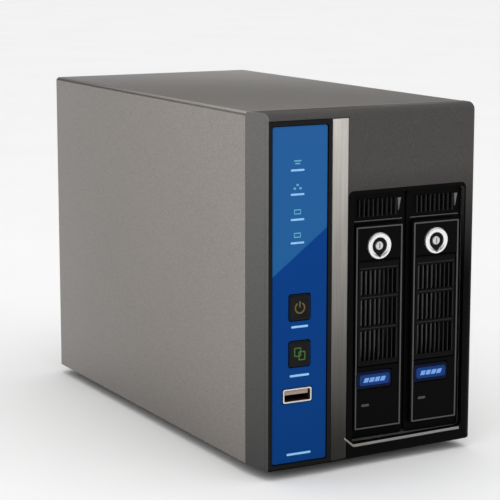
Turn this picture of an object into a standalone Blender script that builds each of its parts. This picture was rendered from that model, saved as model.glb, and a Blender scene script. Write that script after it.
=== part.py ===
"""Two-bay desktop network storage unit, modelled as the separate pieces it is assembled from.

X runs across the front with +X to the right, Y runs from the front (-Y) to the rear (+Y) and Z is up.
The origin is on the floor under the middle of the case. Every dimension below is in millimetres and
becomes metres when a mesh is made.
"""
import math

import bmesh
import bpy
from mathutils import Vector

MM = 0.001
GAP = 0.3                       # clearance between neighbouring pieces

# Whole unit
HALF_WIDTH = 52.5
FRONT = -109.0
REAR = 109.0
TOP = 149.0
FOOT_HEIGHT = 3.7
CASE_BOTTOM = 4.0
SHEET = 1.0                     # steel sheet of the cover and the cage

# Cover and base
JOINT_Y = -94.0                 # where the cover meets the front bezel
COVER_BEVEL_Y = 104.0           # the rear edge turns inward from here
COVER_BEVEL = 3.9
PAN_HALF_WIDTH = 51.2
PAN_TOP = 5.2

# Front bezel and indicator panel
BEZEL_WALL = 2.3
PANEL_X = (-49.9, -20.9)
PANEL_Z = (4.8, 145.8)
PANEL_BORDER = 1.7
PANEL_BACK = -107.2
LENS_FRONT = -108.6
STRIP_X = (-20.6, -11.3)
BUTTON_X = -35.4
BUTTON_Z = {"power_button": 70.8, "copy_button": 51.7}
BUTTON_HALF = (4.9, 5.35)
INDICATOR_X = -36.6
INDICATOR_Z = (128.6, 118.9, 108.8, 99.4)
FRONT_USB_X = -36.3
FRONT_USB_Z = 34.6
BOARD_Y = (-97.6, -96.0)

# Drive bay and its two trays
BAY_X = (-9.6, 46.9)
BAY_Z = (10.2, 114.4)
CAGE_Y = (-101.4, 62.0)
TRAY_PITCH = 28.0
TRAY_HALF = 13.6
TRAY_Z = (10.6, 114.0)
TRAY_X = [sum(BAY_X) / 2 - TRAY_PITCH / 2, sum(BAY_X) / 2 + TRAY_PITCH / 2]
FACE_Y = (-102.0, -100.2)
FRAME_FRONT = -104.2            # raised frame around the lever
FRAME_Z = (15.9, 101.0)
LEVER_Z = (41.6, 86.0)
FRAME_HALF = 12.4
LEVER_HALF = 10.7
PIN_REACH = 0.9                  # the lever's pins stand this far out at each end
LEVER_PIVOT = (-103.3, 84.9)    # y, z of the axis near the lever's top edge
LOCK_Z = 92.0
TAB_X = (-11.0, 6.5)            # from the tray's centre
TAB_Z = (32.0, 39.5)
DRIVE_SIZE = (25.4, 147.0, 101.6)
DRIVE_FRONT = -96.0

# Rear panel and what shows through it
REAR_PANEL_Y = (106.0, 107.2)
REAR_PANEL_HALF = 47.6
REAR_PANEL_Z = (5.5, 145.2)
PORT_REAR = 108.4
FAN_CENTRE = (5.5, 41.5)        # x, z
FAN_HALF = 32.5
FAN_SCREW = 27.2
FAN_Y = (81.0, 105.7)
GRILLE_RADII = (27.0, 21.6, 15.9, 10.6)
GRILLE_SLOT = 2.3
GRILLE_SPOKE = 3.0
LAN_X = (-43.5, -14.6)
LAN_Z = (86.0, 103.0)
USB_SLOTS_X = (-39.45, -32.15)
ESATA_X = (-31.7, -39.9)
ESATA_Z = 56.5
TERMINAL_X = -37.7
TERMINAL_Z = (26.0, 46.0)
DC_CENTRE = (-38.1, 11.7)
RESET_CENTRE = (-35.9, 21.5)
BLANK_CENTRE = (0.0, 94.0)
COVER_SCREW = (44.9, 20.6)
TOP_PLATE_X = (-26.7, 45.5)
TOP_PLATE_Z = (135.8, 144.6)
TOP_PLATE_SCREW_X = (-17.5, 37.4)

# Mainboard
MAINBOARD_X = (-48.5, -46.9)


# ---------------------------------------------------------------- shapes as (vertices, faces)

def loft(axis, stations):
    """Solid through equal-count outlines; a station is (place along the axis, outline)."""
    place_point = {
        "X": lambda a, u, v: (a, u, v),
        "Y": lambda a, u, v: (u, a, v),
        "Z": lambda a, u, v: (u, v, a),
    }[axis]
    verts = [place_point(place, u, v) for place, outline in stations for u, v in outline]
    count = len(stations[0][1])
    faces = [tuple(range(count)), tuple(range(len(verts) - count, len(verts)))]
    for ring in range(len(stations) - 1):
        near, far = ring * count, (ring + 1) * count
        for i in range(count):
            j = (i + 1) % count
            faces.append((near + i, near + j, far + j, far + i))
    return verts, faces


def prism(axis, outline, low, high):
    return loft(axis, [(low, outline), (high, outline)])


def box(x, y, z):
    return prism("Z", [(x[0], y[0]), (x[1], y[0]), (x[1], y[1]), (x[0], y[1])], z[0], z[1])


def arc(cx, cy, radius, start, end, steps):
    """Points on a circle from one angle to another, in degrees."""
    points = []
    for i in range(steps + 1):
        angle = math.radians(start + (end - start) * i / steps)
        points.append((cx + radius * math.cos(angle), cy + radius * math.sin(angle)))
    return points


def rod(axis, centre, radius, low, high, sides=16):
    return prism(axis, arc(centre[0], centre[1], radius, 0, 360 * (sides - 1) / sides, sides - 1),
                 low, high)


def around(value, half):
    return (value - half, value + half)


def arc_slot(centre, radius, width, start, end, y, steps=6):
    """Curved slot along Y: the space between two arcs."""
    outer = arc(centre[0], centre[1], radius + width / 2, start, end, steps)
    inner = arc(centre[0], centre[1], radius - width / 2, end, start, steps)
    return prism("Y", outer + inner, y[0], y[1])


# ---------------------------------------------------------------- materials and objects

def make_material(name, colour, roughness, metallic=0.0):
    material = bpy.data.materials.new(name)
    material.use_nodes = True
    surface = material.node_tree.nodes["Principled BSDF"]
    surface.inputs["Base Color"].default_value = (*colour, 1.0)
    surface.inputs["Roughness"].default_value = roughness
    surface.inputs["Metallic"].default_value = metallic
    material.diffuse_color = (*colour, 1.0)
    return material


def mesh_object(name, shapes, origin=(0.0, 0.0, 0.0)):
    """Object from shapes in millimetres, with its own origin at the given point."""
    bm = bmesh.new()
    for verts, faces in shapes:
        made = [bm.verts.new((Vector(co) - Vector(origin)) * MM) for co in verts]
        for face in faces:
            bm.faces.new([made[i] for i in face])
    bmesh.ops.recalc_face_normals(bm, faces=bm.faces[:])
    mesh = bpy.data.meshes.new(name)
    bm.to_mesh(mesh)
    bm.free()
    obj = bpy.data.objects.new(name, mesh)
    obj.location = Vector(origin) * MM
    bpy.context.scene.collection.objects.link(obj)
    return obj


def piece(name, material, base, steps=(), origin=(0.0, 0.0, 0.0), smooth=False):
    """One sub-part: a base shape, then Boolean steps of (operation, list of shapes)."""
    obj = mesh_object(name, [base], origin)
    obj.data.materials.append(material)
    for number, (operation, shapes) in enumerate(steps):
        tool = mesh_object(f"{name}_tool_{number}", shapes)
        tool.hide_render = True
        tool.display_type = "WIRE"
        tool.hide_set(True)
        boolean = obj.modifiers.new(operation.lower(), "BOOLEAN")
        boolean.operation = operation
        boolean.object = tool
    if smooth:
        obj.data.shade_smooth()
        obj.data.set_sharp_from_angle(angle=math.radians(35))
    return obj


# ---------------------------------------------------------------- case

def cover_section(inset):
    """Closed outline of the folded sheet: up the left side, across the top, down the right."""
    outline = []
    for thickness, radius in ((0.0, 1.8), (SHEET, 0.8)):
        half = HALF_WIDTH - inset - thickness
        top = TOP - inset * 0.5 - thickness
        path = [(-half, CASE_BOTTOM + 0.6)]
        path += arc(-half + radius, top - radius, radius, 180, 90, 3)
        path += arc(half - radius, top - radius, radius, 90, 0, 3)
        path += [(half, CASE_BOTTOM + 0.6)]
        outline += path if thickness == 0.0 else path[::-1]
    return outline


def make_case(paint, dark_steel, zinc):
    stations = [(JOINT_Y, 0.0), (COVER_BEVEL_Y, 0.0), (REAR, COVER_BEVEL)]
    piece("cover", paint, loft("Y", [(y, cover_section(inset)) for y, inset in stations]))

    pan_y = (JOINT_Y + GAP, 103.8)
    wall = PAN_HALF_WIDTH - SHEET
    vents = [box((6.0, 31.0), around(y, 1.5), (3.0, 7.0)) for y in range(-60, 61, 15)]
    standoffs = [rod("X", (y, z), 2.5, -wall - 0.5, MAINBOARD_X[0] - GAP, 10)
                 for y in (-74.0, 60.0) for z in (22.0, 112.0)]
    piece("base_pan", zinc, box((-PAN_HALF_WIDTH, PAN_HALF_WIDTH), pan_y, (CASE_BOTTOM, PAN_TOP)), [
        ("UNION", [box((-PAN_HALF_WIDTH, -wall), (-80.0, 98.0), (4.6, 126.0)),
                   box((wall, PAN_HALF_WIDTH), (-80.0, 98.0), (4.6, 16.0))]),
        ("UNION", standoffs),
        ("DIFFERENCE", vents),
    ])

    for number, (x, y) in enumerate([(-32.0, -80.0), (27.0, -80.0), (-32.0, 92.0), (27.0, 92.0)], 1):
        low = arc(x, y, 6.5, 0, 345, 23)
        high = arc(x, y, 7.3, 0, 345, 23)
        piece(f"foot_{number}", MATERIALS["rubber"],
              loft("Z", [(0.0, low), (1.0, high), (FOOT_HEIGHT, high)]),
              smooth=True)

    for number, side in enumerate((-1, 1), 1):
        x = side * COVER_SCREW[0]
        piece(f"cover_screw_{number}", dark_steel,
              rod("Y", (x, COVER_SCREW[1]), 2.2, REAR_PANEL_Y[1] + GAP, REAR - 0.1, 16),
              [("UNION", [rod("Y", (x, COVER_SCREW[1]), 1.3, 100.0, REAR_PANEL_Y[1] + 0.6, 12)])])


def grille_cutters():
    """Ring slots, straight outline slots and the arcs round the corner screws of the fan grille."""
    x0, z0 = FAN_CENTRE
    through = (REAR_PANEL_Y[0] - 1.0, REAR_PANEL_Y[1] + 1.0)
    cutters = []
    for radius in GRILLE_RADII:
        spoke = math.degrees(math.asin(GRILLE_SPOKE / 2 / radius))
        for quarter in range(4):
            start = 90 * quarter + spoke
            end = start + 90 - 2 * spoke
            cutters.append(arc_slot(FAN_CENTRE, radius, GRILLE_SLOT, start, end, through))
    for side in (-1, 1):
        for half in (-1, 1):
            run = sorted((half * 3.8, half * 15.8))
            line = around(side * 32.3, 0.6)
            cutters.append(box((x0 + run[0], x0 + run[1]), through, (z0 + line[0], z0 + line[1])))
            cutters.append(box((x0 + line[0], x0 + line[1]), through, (z0 + run[0], z0 + run[1])))
            corner = (x0 + side * FAN_SCREW, z0 + half * FAN_SCREW)
            inward = math.degrees(math.atan2(-half, -side))
            cutters.append(arc_slot(corner, 6.9, 1.4, inward - 38, inward + 38, through, 4))
            cutters.append(rod("Y", corner, 2.1, through[0], through[1], 12))
    return cutters


def make_rear_panel(dark_steel, screw_steel):
    through = (REAR_PANEL_Y[0] - 1.0, REAR_PANEL_Y[1] + 1.0)

    def window(x, z):
        return box((x[0] - GAP, x[1] + GAP), through, (z[0] - GAP, z[1] + GAP))

    cutters = grille_cutters()
    cutters.append(window(LAN_X, LAN_Z))
    cutters += [window(around(x, 2.85), around(ESATA_Z, 8.5)) for x in ESATA_X]
    cutters.append(window(around(TERMINAL_X, 4.65), TERMINAL_Z))
    cutters.append(window(around(DC_CENTRE[0], 4.65), around(DC_CENTRE[1], 4.25)))
    cutters.append(window(around(BLANK_CENTRE[0], 2.8), around(BLANK_CENTRE[1], 11.0)))
    cutters.append(rod("Y", RESET_CENTRE, 1.1, through[0], through[1], 12))
    cutters.append(box(around(43.6, 3.5), through, around(14.0, 1.5)))
    cutters += [rod("Y", (side * COVER_SCREW[0], COVER_SCREW[1]), 1.65, *through, 12) for side in (-1, 1)]
    cutters += [rod("Y", (x, sum(TOP_PLATE_Z) / 2), 1.3, *through, 10) for x in TOP_PLATE_SCREW_X]
    half = REAR_PANEL_HALF
    piece("rear_panel", dark_steel, box((-half, half), REAR_PANEL_Y, REAR_PANEL_Z), [
        ("UNION", [box((-half, half), (98.5, REAR_PANEL_Y[0] + 0.5), (REAR_PANEL_Z[0], 6.7))]),
        ("DIFFERENCE", cutters),
    ])

    plate_y = (REAR_PANEL_Y[1] + GAP, 108.2)
    middle = sum(TOP_PLATE_Z) / 2
    piece("rear_top_plate", dark_steel, box(TOP_PLATE_X, plate_y, TOP_PLATE_Z), [
        ("DIFFERENCE", [rod("Y", (x, middle), 1.3, 107.0, 109.0, 10) for x in TOP_PLATE_SCREW_X])])
    for number, x in enumerate(TOP_PLATE_SCREW_X, 1):
        piece(f"top_plate_screw_{number}", screw_steel,
              rod("Y", (x, middle), 2.0, plate_y[1] + GAP, REAR, 16),
              [("UNION", [rod("Y", (x, middle), 0.95, 102.0, plate_y[1] + 0.5, 10)])])


# ---------------------------------------------------------------- front

def bezel_outline():
    """Plan of the bezel: a slanted left return, then a front that falls back to the right."""
    corner = arc(49.4, -100.9, 3.1, -86, 0, 5)
    return [(-HALF_WIDTH, JOINT_Y - GAP), (-50.3, -107.0), (-49.9, -108.7), (-20.7, -108.5),
            (-11.2, -107.5)] + corner + [(HALF_WIDTH, JOINT_Y - GAP)]


def make_bezel(bezel_plastic):
    hollow = [(-50.0, JOINT_Y + 2.0), (-50.0, -98.0), (-48.2, -105.9), (-20.0, -105.6), (-10.0, -104.6),
              (49.6, -101.9), (50.2, -100.0), (50.2, JOINT_Y + 2.0)]
    recess = [(-60.0, -112.0), (-60.0, PANEL_BACK + GAP), (STRIP_X[0] - 0.1, PANEL_BACK + GAP),
              (STRIP_X[0] - 0.1, -106.4), (STRIP_X[1] + 0.1, -106.4), (STRIP_X[1] + 0.1, -112.0)]
    crown = [(TOP - 3.0, -3.0), (TOP + 2.0, 2.0), (TOP + 2.0, -4.0)]

    def crown_at(front_y):
        return [(front_y + back, height) for height, back in ((crown[0][0], 0.0), (crown[1][0], 5.0),
                                                             (crown[2][0], -3.0))]

    through = (-110.0, -104.0)
    cutters = [box(around(BUTTON_X, BUTTON_HALF[0] + GAP), through, around(z, BUTTON_HALF[1] + GAP))
               for z in BUTTON_Z.values()]
    cutters.append(box(around(FRONT_USB_X, 6.9), through, around(FRONT_USB_Z, 3.2)))
    cutters += [box(around(INDICATOR_X, 1.7), through, around(z, 1.7)) for z in INDICATOR_Z]
    cutters.append(box(BAY_X, (-112.0, -98.0), BAY_Z))
    posts = [rod("Y", (x, z), 2.2, -106.2, BOARD_Y[0] - GAP, 10)
             for x, z in ((-44.0, 88.0), (-27.0, 88.0), (-44.0, 26.5), (-27.0, 26.5))]
    piece("front_bezel", bezel_plastic, prism("Z", bezel_outline(), CASE_BOTTOM, TOP), [
        ("DIFFERENCE", [prism("Z", hollow, CASE_BOTTOM + BEZEL_WALL, TOP - BEZEL_WALL)]),
        ("DIFFERENCE", [prism("Z", recess, PANEL_Z[0] - GAP, PANEL_Z[1] + GAP)]),
        ("DIFFERENCE", [loft("X", [(-60.0, crown_at(-109.0)), (60.0, crown_at(-103.4))])]),
        ("UNION", posts),
        ("DIFFERENCE", cutters),
    ])


def make_indicator_panel(gloss_black, lens_blue, silver, clear):
    x_low, x_high = PANEL_X
    plan = [(x_low - 0.4, PANEL_BACK), (x_low, FRONT + 0.3), (x_low + 0.3, FRONT), (x_high, FRONT),
            (x_high, PANEL_BACK)]
    inner_x = (x_low + PANEL_BORDER, x_high - PANEL_BORDER)
    inner_z = (PANEL_Z[0] + PANEL_BORDER, PANEL_Z[1] - PANEL_BORDER)
    piece("panel_frame", gloss_black, prism("Z", plan, *PANEL_Z), [
        ("DIFFERENCE", [box(inner_x, (-112.0, -105.0), inner_z)])])

    holes = [box(around(BUTTON_X, BUTTON_HALF[0] + GAP), (-110.0, -106.0), around(z, BUTTON_HALF[1] + GAP))
             for z in BUTTON_Z.values()]
    holes.append(box(around(FRONT_USB_X, 6.9), (-110.0, -106.0), around(FRONT_USB_Z, 3.2)))
    lens_x = (inner_x[0] + GAP, inner_x[1] - GAP)
    lens_z = (inner_z[0] + GAP, inner_z[1] - GAP)
    piece("panel_lens", lens_blue, box(lens_x, (LENS_FRONT, PANEL_BACK), lens_z), [("DIFFERENCE", holes)])

    strip = [(STRIP_X[0], -106.7), (STRIP_X[0], -108.7), (STRIP_X[1], -107.7), (STRIP_X[1], -106.7)]
    piece("trim_strip", silver, prism("Z", strip, *PANEL_Z))

    prongs = [box(around(INDICATOR_X, 1.3), (PANEL_BACK + 0.4, -102.5), around(z, 1.3))
              for z in INDICATOR_Z]
    piece("light_guide", clear, box(around(INDICATOR_X, 2.2), (-103.0, -101.5), (95.0, 133.0)),
          [("UNION", prongs)])


def make_front_controls(gloss_black, board_green, port_steel, white_plastic):
    half_x, half_z = BUTTON_HALF
    for name, z in BUTTON_Z.items():
        piece(name, gloss_black, box(around(BUTTON_X, half_x), (FRONT, -105.0), around(z, half_z)), [
            ("UNION", [box(around(BUTTON_X, half_x + 1.2), (-105.2, -104.0), around(z, half_z + 1.2))]),
            ("UNION", [rod("Y", (BUTTON_X, z), 1.5, -104.5, -100.3, 10)]),
        ], origin=(BUTTON_X, FRONT, z))

    switches = [box(around(BUTTON_X, 3.0), (-99.2, BOARD_Y[0] + 0.2), around(z, 3.0))
                for z in BUTTON_Z.values()]
    lamps = [box(around(INDICATOR_X, 1.4), (-98.6, BOARD_Y[0] + 0.2), around(z, 1.4)) for z in INDICATOR_Z]
    piece("front_board", board_green, box((-47.2, -23.5), BOARD_Y, (22.0, 136.0)),
          [("UNION", switches + lamps)])

    mouth = box(around(FRONT_USB_X, 6.2), (-110.0, -98.6), around(FRONT_USB_Z, 2.5))
    piece("front_usb_shell", port_steel,
          box(around(FRONT_USB_X, 6.6), (-108.7, BOARD_Y[0] - GAP), around(FRONT_USB_Z, 2.9)),
          [("DIFFERENCE", [mouth])])
    piece("front_usb_tongue", white_plastic,
          box(around(FRONT_USB_X, 5.5), (-107.6, -98.9), (FRONT_USB_Z + 0.2, FRONT_USB_Z + 2.0)))


# ---------------------------------------------------------------- rear sockets and fan

def make_rear_sockets(port_steel, gloss_black, esata_red, terminal_green, matte_black):
    latch = box((-18.8, -16.4), (94.2, 110.0), around(94.5, 3.0))
    jack = box((-27.4, -18.6), (94.0, 110.0), around(94.5, 5.9))
    usb = [box(around(x, 2.55), (96.0, 110.0), around(94.5, 6.3)) for x in USB_SLOTS_X]
    piece("lan_usb_shell", port_steel, box(LAN_X, (86.0, PORT_REAR), LAN_Z),
          [("DIFFERENCE", [jack] + usb), ("DIFFERENCE", [latch])])
    for number, x in enumerate(USB_SLOTS_X, 1):
        piece(f"rear_usb_tongue_{number}", gloss_black,
              box(around(x, 0.9), (96.3, 107.0), around(94.5, 5.6)))

    for number, x in enumerate(ESATA_X, 1):
        piece(f"esata_socket_{number}", esata_red,
              box(around(x, 2.85), (94.0, PORT_REAR), around(ESATA_Z, 8.5)),
              [("DIFFERENCE", [box(around(x, 1.6), (101.0, 110.0), around(ESATA_Z, 6.4))]),
               ("UNION", [box(around(x - 0.5, 0.5), (100.0, 107.4), around(ESATA_Z, 5.2))])])

    ways = [TERMINAL_Z[0] + 2.4 + 3.8 * i for i in range(5)]
    piece("terminal_block", terminal_green, box(around(TERMINAL_X, 4.65), (98.0, PORT_REAR), TERMINAL_Z), [
        ("DIFFERENCE", [box(around(TERMINAL_X - 2.1, 1.2), (103.0, 110.0), around(z, 1.2)) for z in ways]
         + [rod("Y", (TERMINAL_X + 2.1, z), 1.3, 107.6, 110.0, 10) for z in ways])])

    piece("dc_inlet", matte_black,
          box(around(DC_CENTRE[0], 4.65), (96.0, PORT_REAR), around(DC_CENTRE[1], 4.25)),
          [("DIFFERENCE", [rod("Y", DC_CENTRE, 3.2, 98.5, 110.0, 20)]),
           ("UNION", [rod("Y", DC_CENTRE, 1.0, 98.0, 107.5, 10)])])

    piece("slot_blank", matte_black,
          box(around(BLANK_CENTRE[0], 3.5), (REAR_PANEL_Y[1] + GAP, PORT_REAR),
              around(BLANK_CENTRE[1], 12.5)),
          [("UNION", [box(around(BLANK_CENTRE[0], 2.5), (103.0, 107.9), around(BLANK_CENTRE[1], 10.7))])])

    piece("reset_button", matte_black, rod("Y", RESET_CENTRE, 1.5, 103.0, 105.6, 12),
          [("UNION", [rod("Y", RESET_CENTRE, 0.8, 100.0, 103.4, 10)])],
          origin=(RESET_CENTRE[0], 105.6, RESET_CENTRE[1]))


def fan_blade(angle):
    """Twisted plate from inside the hub to near the bore, pitched to push air along Y."""
    turn = math.radians(angle)
    middle_y = 93.8
    stations = []
    for radius, half_chord, pitch in ((10.0, 5.2, 52.0), (19.0, 7.6, 40.0), (26.9, 8.4, 30.0)):
        lean = math.radians(pitch)
        along = (math.cos(lean) * half_chord, math.sin(lean) * half_chord)
        across = (-math.sin(lean) * 0.6, math.cos(lean) * 0.6)
        outline = [(sa * along[0] + sb * across[0], middle_y + sa * along[1] + sb * across[1])
                   for sa, sb in ((-1, -1), (1, -1), (1, 1), (-1, 1))]
        stations.append((radius, outline))
    verts, faces = loft("X", stations)
    turned = []
    for radius, tangent, y in verts:
        turned.append((FAN_CENTRE[0] + radius * math.cos(turn) - tangent * math.sin(turn), y,
                       FAN_CENTRE[1] + radius * math.sin(turn) + tangent * math.cos(turn)))
    return turned, faces


def make_fan(matte_black, dark_grey, screw_steel):
    x0, z0 = FAN_CENTRE
    corners = [(x0 + sx * FAN_SCREW, z0 + sz * FAN_SCREW) for sx in (-1, 1) for sz in (-1, 1)]
    arms = [box((x0 + low, x0 + high), (FAN_Y[0], FAN_Y[0] + 2.4), around(z0, 1.6))
            for low, high in ((-30.5, -9.0), (9.0, 30.5))]
    arms += [box(around(x0, 1.6), (FAN_Y[0], FAN_Y[0] + 2.4), (z0 + low, z0 + high))
             for low, high in ((-30.5, -9.0), (9.0, 30.5))]
    piece("fan_frame", matte_black, box(around(x0, FAN_HALF), FAN_Y, around(z0, FAN_HALF)), [
        ("DIFFERENCE", [rod("Y", FAN_CENTRE, 29.4, 70.0, 120.0, 32)]
         + [rod("Y", corner, 2.1, 70.0, 120.0, 10) for corner in corners]),
        ("UNION", [rod("Y", FAN_CENTRE, 13.0, FAN_Y[0], FAN_Y[0] + 2.4, 20)]),
        ("UNION", arms),
    ])
    piece("fan_rotor", dark_grey, rod("Y", FAN_CENTRE, 12.4, 84.2, 103.6, 28),
          [("UNION", [fan_blade(360 * i / 7) for i in range(7)])], origin=(x0, 93.8, z0))
    for number, corner in enumerate(corners, 1):
        piece(f"fan_screw_{number}", screw_steel, rod("Y", corner, 3.1, REAR_PANEL_Y[1] + GAP, 108.9, 16),
              [("UNION", [rod("Y", corner, 1.75, 94.0, REAR_PANEL_Y[1] + 0.6, 12)])])


# ---------------------------------------------------------------- drive bay

def make_cage_and_backplane(zinc, board_green, matte_black):
    slots = [box((-20.0, 60.0), around(y, 4.0), (30.0, 96.0))
             for y in (-60.0, -40.0, -20.0, 0.0, 20.0, 40.0)]
    floor_top = BAY_Z[0] + 0.1
    bezel_notch = box((-20.0, 60.0), (-110.0, JOINT_Y + GAP), (0.0, floor_top - SHEET))
    for name, x in (("left", (BAY_X[0] - SHEET, BAY_X[0])), ("right", (BAY_X[1], BAY_X[1] + SHEET))):
        piece(f"cage_side_{name}", zinc, box(x, CAGE_Y, (PAN_TOP + GAP, BAY_Z[1] + SHEET)),
              [("DIFFERENCE", [bezel_notch]), ("DIFFERENCE", slots)])
    between = (BAY_X[0] + GAP, BAY_X[1] - GAP)
    piece("cage_roof", zinc, box(between, CAGE_Y, (BAY_Z[1], BAY_Z[1] + SHEET)))
    piece("cage_floor", zinc, box(between, CAGE_Y, (floor_top - SHEET, floor_top)))

    airways = [box(around(x, 6.0), (50.0, 70.0), (62.0, 104.0)) for x in TRAY_X]
    piece("backplane", board_green, box((-8.0, 45.3), (57.6, 59.2), (14.0, 111.0)),
          [("DIFFERENCE", airways)])
    for number, x in enumerate(TRAY_X, 1):
        piece(f"sata_connector_{number}", matte_black, box((x + 2.0, x + 8.0), (51.5, 57.3), (16.0, 58.0)),
              [("DIFFERENCE", [box((x + 3.6, x + 6.4), (50.0, 55.0), (19.0, 55.0))])])


def lever_outline():
    """Side view of the lever (y, z): a flat plate whose top end is rounded about its pivot."""
    y, z = LEVER_PIVOT
    return [(y - 1.0, LEVER_Z[0]), (y + 1.0, LEVER_Z[0])] + arc(y, z, 1.0, 0, 180, 6)


def tray_face_steps(x):
    """Boolean steps that turn the face plate of the tray centred at x into its finished shape."""
    raised = box(around(x, FRAME_HALF), (FRAME_FRONT, FACE_Y[0] + 0.3), FRAME_Z)
    lever_bay = box(around(x, LEVER_HALF + GAP), (-110.0, FACE_Y[0] - 0.1),
                    (LEVER_Z[0] - GAP, LEVER_Z[1] + GAP))
    comb = [box(around(x + 2.35 * (i - 3.5), 0.6), (-110.0, -95.0), (104.4, 111.3)) for i in range(8)]
    window = box(around(x, 9.2), (-110.0, -95.0), (44.0, 82.5))
    tab_hole = box((x + TAB_X[0] - GAP, x + TAB_X[1] + GAP), (-110.0, -95.0),
                   (TAB_Z[0] - GAP, TAB_Z[1] + GAP))
    lock_seat = rod("Y", (x, LOCK_Z), 5.9, -110.0, FACE_Y[0], 24)
    lock_bore = rod("Y", (x, LOCK_Z), 3.3, -110.0, -95.0, 16)
    pin_slots = [box(around(x + side * (LEVER_HALF + PIN_REACH / 2), 0.75), (-110.0, LEVER_PIVOT[0] + 0.7),
                     around(LEVER_PIVOT[1], 0.7)) for side in (-1, 1)]
    return [("UNION", [raised]), ("DIFFERENCE", [lever_bay]), ("DIFFERENCE", comb + [window, tab_hole]),
            ("DIFFERENCE", [lock_seat]), ("DIFFERENCE", [lock_bore]), ("DIFFERENCE", pin_slots)]


def make_tray(number, x, tray_plastic, gloss_black, blue, lock_metal, tray_steel, drive_metal, board_green):
    low, high = TRAY_Z
    side_x = (x - TRAY_HALF, x - TRAY_HALF + 1.0)
    span = around(x, TRAY_HALF)
    sled_y = (FACE_Y[1] + GAP, 53.0)
    piece(f"tray_sled_{number}", tray_steel, box(side_x, sled_y, TRAY_Z), [
        ("UNION", [box(span, (sled_y[0], 30.0), (low, low + 0.6)),
                   box(span, (sled_y[0], 30.0), (high - 0.6, high))]),
        ("UNION", [box(span, (sled_y[0], sled_y[0] + 1.0), (low, 30.0)),
                   box(span, (sled_y[0], sled_y[0] + 1.0), (103.0, high))]),
        ("DIFFERENCE", [box((x - 20.0, x - 11.0), around(y, 9.5), (26.0, 98.0))
                        for y in (-70.0, -43.0, -16.0, 11.0, 38.0)]),
    ])

    piece(f"tray_face_{number}", tray_plastic, box(span, FACE_Y, TRAY_Z), tray_face_steps(x))

    slots = [box(around(x + 2.35 * (i - 3.5), 0.7), (-110.0, -100.0), rows)
             for i in range(8) for rows in ((44.0, 56.6), (58.6, 69.6), (71.6, 82.0))]
    pins = []
    for side in (-1, 1):
        ends = sorted((x + side * (LEVER_HALF - GAP), x + side * (LEVER_HALF + PIN_REACH)))
        pins.append(rod("X", LEVER_PIVOT, 0.4, *ends, 8))
    piece(f"tray_lever_{number}", gloss_black, prism("X", lever_outline(), *around(x, LEVER_HALF)),
          [("UNION", pins), ("DIFFERENCE", slots)], origin=(x, *LEVER_PIVOT))

    piece(f"release_tab_{number}", blue, box((x + TAB_X[0], x + TAB_X[1]), (-104.6, -101.2), TAB_Z),
          origin=(x, -104.6, sum(TAB_Z) / 2))

    piece(f"lock_cylinder_{number}", lock_metal, rod("Y", (x, LOCK_Z), 5.6, -105.0, -102.3, 28), [
        ("UNION", [rod("Y", (x, LOCK_Z), 3.0, -102.5, -97.2, 14)]),
        ("UNION", [box(around(x, 1.8), (-98.4, -97.0), (LOCK_Z - 8.0, LOCK_Z + 1.0))]),
        ("DIFFERENCE", [rod("Y", (x, LOCK_Z), 3.4, -106.0, -104.2, 20)]),
    ], origin=(x, -105.0, LOCK_Z))

    drive_x = (x - TRAY_HALF + 1.3, x - TRAY_HALF + 1.3 + DRIVE_SIZE[0])
    drive_y = (DRIVE_FRONT, DRIVE_FRONT + DRIVE_SIZE[1])
    middle = (low + high) / 2
    drive_z = around(middle, DRIVE_SIZE[2] / 2)
    piece(f"drive_{number}", drive_metal, box((drive_x[0], drive_x[1] - 2.0), drive_y, drive_z), [
        ("DIFFERENCE", [box((drive_x[0] - 1.0, drive_x[0] + 1.2), (drive_y[1] - 6.0, drive_y[1] + 1.0),
                            (drive_z[0] + 6.0, drive_z[1] - 6.0))])])
    piece(f"drive_board_{number}", board_green,
          box((drive_x[1] - 1.7, drive_x[1]), (-50.0, drive_y[1] - 0.5),
              (drive_z[0] + 4.0, drive_z[1] - 4.0)),
          [("DIFFERENCE", [rod("X", (0.0, middle), 16.0, drive_x[1] - 3.0, drive_x[1] + 1.0, 20)])])


# ---------------------------------------------------------------- electronics

def make_mainboard(board_green, aluminium):
    face = MAINBOARD_X[1]
    seat = face - 0.2
    chips = [box((seat, face + 2.2), around(-8.0, 16.0), around(82.0, 16.0)),
             box((seat, face + 1.4), around(34.0, 8.0), around(88.0, 8.0)),
             box((seat, RESET_CENTRE[0] + 2.0), (93.0, 99.2), around(RESET_CENTRE[1], 3.4))]
    memory_chips = [box((seat, face + 1.2), around(y, 5.0), around(42.0, 6.5))
                    for y in (-56.0, -42.0, -28.0, -14.0)]
    capacitors = [rod("X", (y, 126.0), 3.2, seat, face + 9.0, 12) for y in (-50.0, -38.0, -26.0, 20.0)]
    battery = rod("X", (62.0, 118.0), 10.0, seat, face + 3.5, 28)
    piece("mainboard", board_green, box(MAINBOARD_X, (-78.0, 100.0), (8.0, 134.0)),
          [("UNION", chips + memory_chips + capacitors + [battery])])

    comb = []
    fins = 6
    pitch, width = 5.2, 1.6
    start = 82.0 - (fins - 1) * pitch / 2
    base_x, tip_x = face + 2.5, face + 19.0
    for i in range(fins):
        z = start + i * pitch
        comb += [(base_x + 2.5, z - width / 2), (tip_x, z - width / 2), (tip_x, z + width / 2),
                 (base_x + 2.5, z + width / 2)]
    outline = [(base_x, start - width / 2 - 0.8), (base_x + 2.5, start - width / 2 - 0.8)] + comb
    outline += [(base_x + 2.5, start + (fins - 1) * pitch + width / 2 + 0.8),
                (base_x, start + (fins - 1) * pitch + width / 2 + 0.8)]
    piece("heatsink", aluminium, prism("Y", outline, -24.0, 8.0))


# ---------------------------------------------------------------- assembly

for old in list(bpy.data.objects):
    bpy.data.objects.remove(old)

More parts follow.
